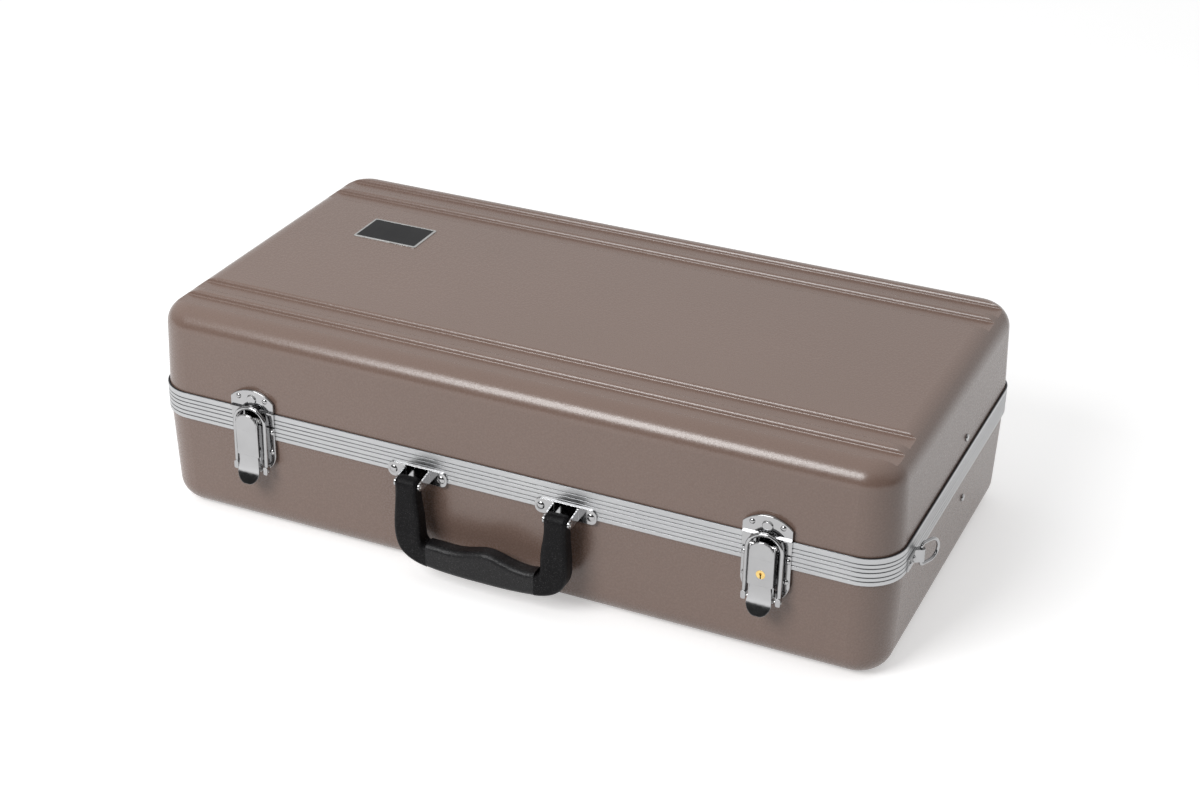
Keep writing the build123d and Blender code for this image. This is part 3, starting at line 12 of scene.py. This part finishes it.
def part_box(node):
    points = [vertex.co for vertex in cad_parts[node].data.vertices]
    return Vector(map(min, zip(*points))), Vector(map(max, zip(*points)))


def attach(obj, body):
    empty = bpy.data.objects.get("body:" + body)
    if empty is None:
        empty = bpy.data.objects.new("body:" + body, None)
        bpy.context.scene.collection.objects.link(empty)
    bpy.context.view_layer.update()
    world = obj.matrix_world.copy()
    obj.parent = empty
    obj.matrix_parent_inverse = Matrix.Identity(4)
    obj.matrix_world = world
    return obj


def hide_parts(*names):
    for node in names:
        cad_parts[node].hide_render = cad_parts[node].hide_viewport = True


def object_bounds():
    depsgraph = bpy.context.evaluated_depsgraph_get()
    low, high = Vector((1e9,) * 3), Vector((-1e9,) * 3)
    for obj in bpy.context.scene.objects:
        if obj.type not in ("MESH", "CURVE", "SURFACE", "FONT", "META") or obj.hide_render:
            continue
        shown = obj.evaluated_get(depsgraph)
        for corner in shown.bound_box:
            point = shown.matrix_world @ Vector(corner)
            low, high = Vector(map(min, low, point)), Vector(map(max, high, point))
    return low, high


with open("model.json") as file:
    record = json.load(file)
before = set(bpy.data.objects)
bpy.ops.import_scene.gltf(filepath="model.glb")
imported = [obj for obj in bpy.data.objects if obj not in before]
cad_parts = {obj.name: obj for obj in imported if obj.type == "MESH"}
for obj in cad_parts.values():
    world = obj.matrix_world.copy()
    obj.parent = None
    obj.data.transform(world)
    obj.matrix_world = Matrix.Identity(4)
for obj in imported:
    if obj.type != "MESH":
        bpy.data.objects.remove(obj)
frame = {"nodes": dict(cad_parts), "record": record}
cad_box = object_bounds()
NODES = frame["nodes"]
RIB_EDGES = (0.07945, 0.08255, 0.0862, 0.0893, 0.0924, 0.0970)    # heights of the steps, in metres


# ------------------------------------------------------------------ camera, as the photograph
def place_camera():
    focal, width = 2158.24, 1200.0
    azimuth, elevation, roll = math.radians(24.09), math.radians(28.33), math.radians(0.90)
    target, distance = Vector((0.00889, 0.0, 0.08144)), 1.58209
    back = Vector((math.sin(azimuth) * math.cos(elevation),
                   -math.cos(azimuth) * math.cos(elevation), math.sin(elevation)))
    right = Vector((math.cos(azimuth), math.sin(azimuth), 0.0))
    up = back.cross(right)
    turned_right = right * math.cos(roll) + up * math.sin(roll)
    turned_up = up * math.cos(roll) - right * math.sin(roll)
    data = bpy.data.cameras.new("camera")
    data.sensor_fit = "HORIZONTAL"
    data.sensor_width = 36.0
    data.lens = focal / width * 36.0
    data.clip_start, data.clip_end = 0.05, 40.0
    cam = bpy.data.objects.new("camera", data)
    bpy.context.scene.collection.objects.link(cam)
    world = Matrix((turned_right, turned_up, back)).transposed().to_4x4()
    world.translation = target + back * distance
    cam.matrix_world = world
    bpy.context.scene.camera = cam


place_camera()


# ------------------------------------------------------------------ material building blocks
class Recipe:
    """A Principled material and short names for the nodes that feed it."""

    def __init__(self, name, base, rough, metal=0.0, **sockets):
        self.material = bpy.data.materials.new(name)
        self.material.use_nodes = True
        self.tree = self.material.node_tree
        self.shader = self.tree.nodes["Principled BSDF"]
        self.shader.inputs["Base Color"].default_value = (*base, 1.0)
        self.shader.inputs["Roughness"].default_value = rough
        self.shader.inputs["Metallic"].default_value = metal
        for key, value in sockets.items():
            self.shader.inputs[key.replace("_", " ")].default_value = value
        coords = self.node("ShaderNodeTexCoord")
        self.place = coords.outputs["Object"]

    def node(self, kind, **values):
        made = self.tree.nodes.new(kind)
        for key, value in values.items():
            setattr(made, key, value)
        return made

    def link(self, source, target):
        self.tree.links.new(source, target)

    def stretched(self, x, y, z):
        mapping = self.node("ShaderNodeMapping")
        mapping.inputs["Scale"].default_value = (x, y, z)
        self.link(self.place, mapping.inputs["Vector"])
        return mapping.outputs["Vector"]

    def noise(self, scale, detail=2.0, rough=0.5, where=None, distortion=0.0):
        made = self.node("ShaderNodeTexNoise")
        made.inputs["Scale"].default_value = scale
        made.inputs["Detail"].default_value = detail
        made.inputs["Roughness"].default_value = rough
        made.inputs["Distortion"].default_value = distortion
        self.link(where or self.place, made.inputs["Vector"])
        return made.outputs["Fac"]

    def cells(self, scale, feature="F1", where=None):
        made = self.node("ShaderNodeTexVoronoi", feature=feature)
        made.inputs["Scale"].default_value = scale
        self.link(where or self.place, made.inputs["Vector"])
        return made.outputs["Distance"]

    def wave(self, scale, direction="X", distortion=0.0, where=None):
        made = self.node("ShaderNodeTexWave", bands_direction=direction)
        made.inputs["Scale"].default_value = scale
        made.inputs["Distortion"].default_value = distortion
        self.link(where or self.place, made.inputs["Vector"])
        return made.outputs["Fac"]

    def ramp(self, value, *stops):
        made = self.node("ShaderNodeValToRGB")
        element = made.color_ramp.elements
        while len(element) < len(stops):
            element.new(0.5)
        for slot, (at, colour) in zip(element, stops):
            slot.position = at
            slot.color = (*colour, 1.0) if isinstance(colour, tuple) else (colour,) * 3 + (1.0,)
        self.link(value, made.inputs["Fac"])
        return made.outputs["Color"]

    def span(self, value, low, high, from_low=0.3, from_high=0.7):
        made = self.node("ShaderNodeMapRange")
        for key, number in (("From Min", from_low), ("From Max", from_high),
                            ("To Min", low), ("To Max", high)):
            made.inputs[key].default_value = number
        self.link(value, made.inputs["Value"])
        return made.outputs["Result"]

    def maths(self, operation, a, b):
        made = self.node("ShaderNodeMath", operation=operation)
        for socket, value in zip(made.inputs, (a, b)):
            if isinstance(value, (int, float)):
                socket.default_value = value
            else:
                self.link(value, socket)
        return made.outputs["Value"]

    def mix(self, factor, a, b, blend="MIX"):
        made = self.node("ShaderNodeMix", data_type="RGBA", blend_type=blend)
        for socket, value in ((made.inputs["Factor"], factor), (made.inputs[6], a),
                              (made.inputs[7], b)):
            if isinstance(value, tuple):
                socket.default_value = (*value, 1.0)
            elif isinstance(value, (int, float)):
                socket.default_value = value
            else:
                self.link(value, socket)
        return made.outputs[2]

    def bump(self, height, strength, distance, rounding=None):
        made = self.node("ShaderNodeBump")
        made.inputs["Strength"].default_value = strength
        made.inputs["Distance"].default_value = distance
        self.link(height, made.inputs["Height"])
        if rounding:
            self.link(self.rounded(rounding), made.inputs["Normal"])
        return made.outputs["Normal"]

    def rounded(self, radius):
        made = self.node("ShaderNodeBevel")
        made.samples = 4
        made.inputs["Radius"].default_value = radius
        return made.outputs["Normal"]

    def rib_shadow(self):
        """Thin dark lines where one rib of the extrusion steps up to the next."""
        split = self.node("ShaderNodeSeparateXYZ")
        self.link(self.place, split.inputs[0])
        total = 0.0
        for edge in RIB_EDGES:
            away = self.maths("ABSOLUTE", self.maths("SUBTRACT", split.outputs["Z"], edge), 0.0)
            total = self.maths("ADD", total, self.span(away, 1.0, 0.0, 0.00018, 0.00062))
        return total

    def colour(self, value):
        self.link(value, self.shader.inputs["Base Color"])

    def roughness(self, value):
        self.link(value, self.shader.inputs["Roughness"])

    def normal(self, value):
        self.link(value, self.shader.inputs["Normal"])


def shell_plastic():
    """Vacuum-formed ABS with a fine leathery pebble; the sparkle of a faint metallic fleck is painted
    into its colour as paler specks.
    """
    m = Recipe("shell_abs", (0.205, 0.135, 0.108), 0.25, Specular_IOR_Level=0.75)
    cloud = m.noise(7.0, 3.0)
    tone = m.mix(m.span(cloud, 0.0, 1.0), (0.199, 0.131, 0.105), (0.211, 0.139, 0.112))
    # Painted glints: paler specks in the base colour stand in for the sparkle of the metallic fleck.
    glint_noise = m.noise(1500.0, 2.0, 0.6)
    painted_sparkle = m.span(glint_noise, 0.0, 1.0, 0.46, 0.80)
    m.colour(m.mix(painted_sparkle, tone, (0.245, 0.170, 0.140)))
    grain = m.noise(700.0, 1.0, 0.5)
    m.roughness(m.span(grain, 0.24, 0.30))
    pebble = m.cells(620.0, "SMOOTH_F1")
    height = m.maths("ADD", m.maths("MULTIPLY", pebble, 0.6), grain)
    m.normal(m.bump(height, 0.30, 0.00009))
    return m.material


def ribbed_aluminium():
    """Brushed extrusion: faint draw lines along its length, softened edges."""
    m = Recipe("frame_aluminium", (0.46, 0.465, 0.475), 0.30, 1.0)
    lines = m.noise(1.0, 3.0, 0.6, where=m.stretched(9.0, 9.0, 2600.0))
    stain = m.noise(16.0, 4.0, 0.6)
    metal = m.mix(m.span(stain, 0.0, 1.0), (0.43, 0.435, 0.445), (0.50, 0.505, 0.51))
    m.colour(m.mix(m.rib_shadow(), metal, (0.06, 0.06, 0.064)))
    m.roughness(m.maths("ADD", m.span(lines, 0.22, 0.38), m.span(stain, 0.0, 0.05)))
    m.normal(m.bump(lines, 0.04, 0.00008, rounding=0.00018))
    return m.material


def chrome_plate(name="bright_chrome", tint=(0.42, 0.42, 0.425), rough=0.08):
    """Nickel-chrome plate over pressed steel, with light wipe marks."""
    m = Recipe(name, tint, rough, 1.0)
    smear = m.noise(90.0, 4.0, 0.65)
    fine_noise = m.noise(900.0, 2.0)
    m.colour(m.mix(m.span(smear, 0.0, 1.0), tuple(0.93 * c for c in tint), tint))
    m.roughness(m.maths("ADD", m.span(smear, rough * 0.6, rough * 1.5), m.span(fine_noise, 0.0, 0.03)))
    m.normal(m.bump(fine_noise, 0.10, 0.00003, rounding=0.00030))
    return m.material


def plain_steel():
    m = Recipe("plain_steel", (0.62, 0.62, 0.61), 0.28, 1.0)
    lines = m.noise(1.0, 3.0, 0.6, where=m.stretched(1800.0, 60.0, 60.0))
    m.colour(m.ramp(m.noise(40.0, 4.0), (0.3, (0.55, 0.55, 0.54)), (0.7, (0.68, 0.68, 0.67))))
    m.roughness(m.span(lines, 0.20, 0.36))
    m.normal(m.bump(lines, 0.2, 0.00006, rounding=0.00020))
    return m.material


def turned_brass():
    m = Recipe("turned_brass", (0.82, 0.60, 0.24), 0.24, 1.0)
    rings = m.noise(1100.0, 2.0)
    m.colour(m.ramp(m.noise(300.0, 3.0), (0.3, (0.74, 0.52, 0.18)), (0.7, (0.90, 0.66, 0.26))))
    m.roughness(m.span(rings, 0.18, 0.34))
    m.normal(m.bump(rings, 0.2, 0.00004, rounding=0.00015))
    return m.material


def black_moulding(name, base, rough, pebble_scale, depth, shine):
    """Black plastic with a spark-eroded pebble and paler grains scattered over it."""
    m = Recipe(name, base, rough, Specular_IOR_Level=shine)
    grain = m.cells(pebble_scale, "SMOOTH_F1")
    # Fine noise that scatters paler specks at random over the black.
    fine_noise = m.noise(1300.0, 2.0, 0.7)
    speck = m.span(fine_noise, 0.0, 1.0, 0.56, 0.70)
    m.colour(m.mix(speck, base, tuple(4.0 * c + 0.03 for c in base)))
    m.roughness(m.span(m.noise(60.0, 3.0), rough - 0.06, rough + 0.10))
    m.normal(m.bump(m.maths("ADD", grain, m.noise(1.3 * pebble_scale, 2.0)), 0.8, depth))
    return m.material


def black_enamel():
    m = Recipe("plate_enamel", (0.008, 0.008, 0.009), 0.20, Specular_IOR_Level=0.10)
    haze = m.noise(60.0, 4.0, 0.6)
    m.colour(m.mix(m.span(haze, 0.0, 1.0), (0.007, 0.007, 0.008), (0.014, 0.014, 0.015)))
    m.roughness(m.span(haze, 0.12, 0.24))
    m.normal(m.bump(m.noise(1400.0, 2.0), 0.08, 0.00003))
    return m.material


def moulded_rubber():
    m = Recipe("foot_rubber", (0.03, 0.03, 0.03), 0.62)
    bloom = m.noise(140.0, 4.0, 0.6)
    m.colour(m.mix(m.span(bloom, 0.0, 1.0), (0.022, 0.022, 0.022), (0.05, 0.05, 0.048)))
    m.roughness(m.span(bloom, 0.52, 0.72))
    m.normal(m.bump(m.noise(700.0, 3.0), 0.4, 0.0001, rounding=0.0003))
    return m.material


def plush(name, deep, tip, pile=1500.0):
    """Short-pile velvet: brushed patches, dark roots, pale tips."""
    m = Recipe(name, deep, 0.92, Sheen_Weight=0.55, Sheen_Roughness=0.42,
               Specular_IOR_Level=0.12)
    m.shader.inputs["Sheen Tint"].default_value = (0.82, 0.80, 0.86, 1.0)
    brushed = m.noise(22.0, 4.0, 0.6, distortion=0.8)
    fibre = m.noise(pile, 3.0, 0.7)
    lit = m.maths("ADD", m.span(fibre, -0.15, 0.75, 0.35, 0.75), m.span(brushed, -0.12, 0.22))
    m.colour(m.mix(lit, deep, tip))
    m.roughness(m.span(brushed, 0.84, 0.98))
    height = m.maths("ADD", fibre, m.maths("MULTIPLY", brushed, 0.9))
    m.normal(m.bump(height, 0.6, 0.0006))
    return m.material


def cell_foam():
    m = Recipe("block_foam", (0.07, 0.07, 0.075), 0.85, Specular_IOR_Level=0.25)
    pores = m.cells(1100.0)
    m.colour(m.ramp(pores, (0.1, (0.03, 0.03, 0.033)), (0.6, (0.085, 0.085, 0.09))))
    m.roughness(m.span(m.noise(200.0), 0.78, 0.92))
    m.normal(m.bump(pores, 0.8, 0.0003))
    return m.material


def webbing(name, dark, light):
    """Woven band: warp ribs along Y crossed by a tight weft."""
    m = Recipe(name, dark, 0.78, Sheen_Weight=0.2, Specular_IOR_Level=0.3)
    warp = m.wave(260.0, "X")
    weft = m.wave(420.0, "Y", 0.4)
    weave = m.maths("MULTIPLY", warp, weft)
    lint = m.noise(900.0, 3.0)
    m.colour(m.mix(m.maths("ADD", m.maths("MULTIPLY", weave, 0.7), m.span(lint, 0.0, 0.25)),
                   dark, light))
    m.roughness(m.span(lint, 0.70, 0.88))
    m.normal(m.bump(weave, 0.7, 0.0004))
    return m.material


SHELL = shell_plastic()
ALUMINIUM = ribbed_aluminium()
CHROME = chrome_plate()
STEEL = plain_steel()
BRASS = turned_brass()
FRAME_BLACK = black_moulding("handle_black", (0.004, 0.0038, 0.0044), 0.46, 900.0, 0.00012, 0.12)
GRIP_BLACK = black_moulding("grip_black", (0.005, 0.0047, 0.0055), 0.38, 620.0, 0.00022, 0.30)
SILVER = chrome_plate("satin_silver", (0.62, 0.62, 0.61), 0.26)
ENAMEL = black_enamel()
RUBBER = moulded_rubber()
PLUSH = plush("cradle_plush", (0.020, 0.018, 0.020), (0.085, 0.078, 0.086))
LID_PLUSH = plush("lid_plush", (0.022, 0.020, 0.022), (0.092, 0.084, 0.092), 1300.0)
FOAM = cell_foam()
STRAP = webbing("strap_weave", (0.020, 0.020, 0.022), (0.085, 0.085, 0.09))
TAB = webbing("tab_weave", (0.026, 0.024, 0.026), (0.11, 0.10, 0.11))

BY_SLOT = {"abs_shell": SHELL, "aluminium": ALUMINIUM, "chrome": CHROME, "steel": STEEL,
           "brass": BRASS, "black_plastic": FRAME_BLACK, "grip_plastic": GRIP_BLACK,
           "silver_trim": SILVER, "black_enamel": ENAMEL, "rubber": RUBBER, "plush": PLUSH,
           "foam": FOAM, "webbing": STRAP}
for part in frame["record"]["subparts"]:
    mesh = NODES[part["node"]].data
    mesh.materials.clear()
    mesh.materials.append(BY_SLOT[part["material_slot"]])


# ------------------------------------------------------------------ soft pieces
RELAX = 0.5                             # share of the way to the neighbours' middle, each round
LID_GAP = 0.0018                        # between the cradle's skin and the compartment lid
QUILT_PANELS = (6.0, 3.0)
QUILT_BORDER = 0.022
QUILT_DIPS = ((0.0034, 0.0042), (0.0012, 0.016))    # depth and width of each part of a seam
STITCH_INSET, STITCH_DEPTH, STITCH_WIDTH = 0.0055, 0.0009, 0.0011


def finished(obj, material, body):
    obj.data.materials.clear()
    obj.data.materials.append(material)
    for face in obj.data.polygons:
        face.use_smooth = True
    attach(obj, body)
    return obj


def cloth_copy(node, name, voxel, rounds):
    """The node's solid as an even, softened skin: remeshed and relaxed."""
    source = NODES[node]
    start = bpy.data.objects.new(name + "_start", source.data.copy())
    bpy.context.scene.collection.objects.link(start)
    remesh = start.modifiers.new("remesh", "REMESH")
    remesh.mode = "VOXEL"
    remesh.voxel_size = voxel
    relax = start.modifiers.new("relax", "SMOOTH")
    relax.factor = RELAX
    relax.iterations = rounds
    graph = bpy.context.evaluated_depsgraph_get()
    mesh = bpy.data.meshes.new_from_object(start.evaluated_get(graph))
    bpy.data.objects.remove(start)
    mesh.name = name
    made = bpy.data.objects.new(name, mesh)
    bpy.context.scene.collection.objects.link(made)
    return made


def vertex_arrays(mesh):
    co = np.empty(len(mesh.vertices) * 3)
    no = np.empty(len(mesh.vertices) * 3)
    mesh.vertices.foreach_get("co", co)
    mesh.vertices.foreach_get("normal", no)
    return co.reshape(-1, 3), no.reshape(-1, 3)


def store(mesh, co):
    mesh.vertices.foreach_set("co", co.ravel())
    mesh.update()


def rumple(obj, depth, scale, seed):
    """Pushes the skin inward by smooth noise, so that it never leaves its solid."""
    co, no = vertex_arrays(obj.data)
    shift = Vector((seed * 3.7, seed * 1.3, seed * 2.1))
    field = np.array([noise.noise(Vector(p) * scale + shift) for p in co])
    co -= no * (depth * (0.5 + 0.5 * field))[:, None]
    store(obj.data, co)


def clear_of(obj, node, gap):
    """Moves the skin that the remesh rounded into a node's box out by its nearest side or below."""
    co, _ = vertex_arrays(obj.data)
    low, high = (np.array(corner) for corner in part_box(node))
    low, high = low - gap, high + gap
    inside = np.all((co > low) & (co < high), axis=1)
    ways = np.stack([co[:, 0] - low[0], high[0] - co[:, 0],
                     co[:, 1] - low[1], high[1] - co[:, 1], co[:, 2] - low[2]], axis=1)
    nearest = np.argmin(ways, axis=1)
    for way, (axis, edge) in enumerate(((0, low), (0, high), (1, low), (1, high), (2, low))):
        moved = inside & (nearest == way)
        co[moved, axis] = edge[axis]
    store(obj.data, co)


cradle = cloth_copy("cradle", "cradle_plush", 0.0030, 3)
rumple(cradle, 0.0007, 38.0, 1)
clear_of(cradle, "compartment_lid", LID_GAP)
finished(cradle, PLUSH, "base")
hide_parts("cradle")

def seam_distance(place, half, panels):
    """How far each place along one axis is from the nearest seam between equal panels."""
    return np.abs(((place / (2 * half)) * panels + 0.5) % 1.0 - 0.5) * (2 * half / panels)


def quilt(obj, node):
    """Draws seams into the underside: a grid of panels inside one seam along the border."""
    co, no = vertex_arrays(obj.data)
    half_x, half_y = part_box(node)[1].xy
    below = np.clip(-no[:, 2] * 1.6 - 0.4, 0.0, 1.0)
    seam_x = seam_distance(co[:, 0], half_x, QUILT_PANELS[0])
    seam_y = seam_distance(co[:, 1], half_y, QUILT_PANELS[1])
    edge = np.minimum(half_x - QUILT_BORDER - np.abs(co[:, 0]),
                      half_y - QUILT_BORDER - np.abs(co[:, 1]))
    near = np.minimum(np.minimum(seam_x, seam_y), np.abs(edge))
    inside = np.where(edge > -0.001, near, np.abs(edge))
    for depth, width in QUILT_DIPS:
        co[:, 2] += below * depth * np.exp(-(inside / width) ** 2)
    store(obj.data, co)


lid_pad = cloth_copy("lid_pad", "lid_padding", 0.0028, 2)
quilt(lid_pad, "lid_pad")
rumple(lid_pad, 0.0005, 30.0, 2)
finished(lid_pad, LID_PLUSH, "lid")
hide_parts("lid_pad")

board = cloth_copy("compartment_lid", "compartment_board", 0.0012, 3)
co, no = vertex_arrays(board.data)
low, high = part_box("compartment_lid")
mid = (low + high) / 2
reach = np.minimum((high.x - low.x) / 2 - np.abs(co[:, 0] - mid.x),
                   (high.y - low.y) / 2 - np.abs(co[:, 1] - mid.y))
top = np.clip(no[:, 2] * 1.5 - 0.3, 0.0, 1.0)
co[:, 2] -= top * STITCH_DEPTH * np.exp(-((reach - STITCH_INSET) / STITCH_WIDTH) ** 2)
store(board.data, co)
finished(board, PLUSH, "compartment_lid")
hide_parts("compartment_lid")


END_GAP = 0.0003                        # the woven band stays this far inside its solid's ends
UNDER_GAP = 0.0001
SIDE_GAPS = 0.0004
STRAP_THICK = 0.0014
TAB_THICK = 0.0010


def ribbon(name, width, thick, path, round_end):
    """A woven band along a path of (y, z) points at x = 0, with rounded ends and a soft edge."""
    mesh = bpy.data.meshes.new(name)
    bm = bmesh.new()
    across = [-1.0, -0.92, -0.6, -0.2, 0.2, 0.6, 0.92, 1.0]
    rows = []
    length = [0.0]
    for a, b in zip(path[:-1], path[1:]):
        length.append(length[-1] + math.dist(a, b))
    for i, (y, z) in enumerate(path):
        near_end = min(length[i], length[-1] - length[i])
        inset = 1.0
        if near_end < round_end:
            inset = math.sqrt(max(0.02, 1.0 - (1.0 - near_end / round_end) ** 2))
        ring = []
        for side in (1, -1):
            for t in (across if side > 0 else across[::-1]):
                edge_thin = 0.55 if abs(t) > 0.95 else 1.0
                ring.append(bm.verts.new((t * inset * width / 2,
                                          y, z + thick / 2 + side * edge_thin * thick / 2)))
        rows.append(ring)
    n = len(rows[0])
    for a, b in zip(rows[:-1], rows[1:]):
        for i in range(n):
            bm.faces.new((a[i], a[(i + 1) % n], b[(i + 1) % n], b[i]))
    bm.faces.new(rows[0][::-1])
    bm.faces.new(rows[-1])
    bmesh.ops.recalc_face_normals(bm, faces=bm.faces)
    bm.to_mesh(mesh)
    bm.free()
    obj = bpy.data.objects.new(name, mesh)
    bpy.context.scene.collection.objects.link(obj)
    return obj


def strap_path(node, steps):
    """The node's box, and points along its length that lie just above its underside."""
    low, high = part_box(node)
    length = high.y - low.y - 2 * END_GAP
    points = []
    for i in range(steps + 1):
        points.append((low.y + END_GAP + length * (i / steps), low.z + UNDER_GAP))
    return low, high, points


low, high, points = strap_path("neck_strap", 60)
strap = ribbon("neck_band", high.x - low.x - SIDE_GAPS, STRAP_THICK, points, 0.012)
strap.location.x = (low.x + high.x) / 2
finished(strap, STRAP, "base")
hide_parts("neck_strap")

low, high, points = strap_path("pull_tab", 16)
tab = ribbon("pull_ribbon", high.x - low.x - SIDE_GAPS, TAB_THICK, points, 0.004)
tab.location.x = (low.x + high.x) / 2
finished(tab, TAB, "compartment_lid")
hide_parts("pull_tab")


# ------------------------------------------------------------------ floor and light
FLOOR_HALF = 9.0
FLOOR_GAP = 0.0002
FLOOR_GLOW = 0.42                       # added where the eye, a metal or a glass sees the floor
BOUNCE_FADE = (0.04, 0.26)              # metres from the case over which the floor's bounce falls off
SKY_TOWARD = (-0.22, 0.70, 0.68)        # the brightest part of the sky
SKY = (-0.40, 0.60, 0.04, 0.72)         # cosines to it where the sky changes, and the strengths there
KEY_PLACE, KEY_SIZE, KEY_POWER = (-0.50, -1.50, 1.34), (0.95, 0.85), 25.0
KEY_AIM = (0.0, 0.0, 0.08)


def floor_and_light():
    mesh = bpy.data.meshes.new("floor")
    corners = [(x * FLOOR_HALF, y * FLOOR_HALF, 0) for x, y in ((-1, -1), (1, -1), (1, 1), (-1, 1))]
    mesh.from_pydata(corners, [], [(0, 1, 2, 3)])
    floor = bpy.data.objects.new("floor", mesh)
    floor.location.z = cad_box[0].z - FLOOR_GAP
    bpy.context.scene.collection.objects.link(floor)
    paper = Recipe("floor_paper", (0.86, 0.86, 0.86), 0.9, Specular_IOR_Level=0.05)
    seen = paper.node("ShaderNodeLightPath").outputs
    eye = paper.maths("MAXIMUM", seen["Is Camera Ray"],
                      paper.maths("MAXIMUM", seen["Is Glossy Ray"], seen["Is Transmission Ray"]))
    split = paper.node("ShaderNodeSeparateXYZ")
    paper.link(paper.place, split.inputs[0])
    beyond = [paper.maths("SUBTRACT", paper.maths("ABSOLUTE", split.outputs[axis], 0.0), half)
              for axis, half in (("X", cad_box[1].x), ("Y", cad_box[1].y))]
    far = paper.span(paper.maths("MAXIMUM", *beyond), 0.0, 1.0, *BOUNCE_FADE)
    bounce = paper.mix(far, (0.70, 0.69, 0.68), (0.18, 0.18, 0.18))
    grain = paper.mix(paper.span(paper.noise(3.0, 2.0), 0.0, 1.0), (0.85,) * 3, (0.87,) * 3)
    paper.colour(paper.mix(eye, bounce, grain))
    paper.shader.inputs["Emission Color"].default_value = (1.0, 1.0, 1.0, 1.0)
    paper.link(paper.maths("MULTIPLY", eye, FLOOR_GLOW), paper.shader.inputs["Emission Strength"])
    mesh.materials.append(paper.material)

    world = bpy.data.worlds.new("studio")
    bpy.context.scene.world = world
    world.use_nodes = True
    tree = world.node_tree
    sky = tree.nodes["Background"]
    sky.inputs["Color"].default_value = (1.0, 1.0, 1.0, 1.0)
    where = tree.nodes.new("ShaderNodeTexCoord")
    toward = tree.nodes.new("ShaderNodeVectorMath")
    toward.operation = "DOT_PRODUCT"
    toward.inputs[1].default_value = Vector(SKY_TOWARD).normalized()
    tree.links.new(where.outputs["Generated"], toward.inputs[0])
    fade = tree.nodes.new("ShaderNodeMapRange")
    fade.interpolation_type = "SMOOTHSTEP"
    for key, value in zip(("From Min", "From Max", "To Min", "To Max"), SKY):
        fade.inputs[key].default_value = value
    tree.links.new(toward.outputs["Value"], fade.inputs["Value"])
    tree.links.new(fade.outputs["Result"], sky.inputs["Strength"])

    data = bpy.data.lights.new("key_front", "AREA")
    data.shape = "RECTANGLE"
    data.size, data.size_y = KEY_SIZE
    data.energy = KEY_POWER
    lamp = bpy.data.objects.new("key_front", data)
    lamp.location = KEY_PLACE
    lamp.rotation_mode = "QUATERNION"
    lamp.rotation_quaternion = (Vector(KEY_AIM) - Vector(KEY_PLACE)).to_track_quat("-Z", "Y")
    bpy.context.scene.collection.objects.link(lamp)
    bpy.context.scene.view_settings.view_transform = "Standard"


floor_and_light()
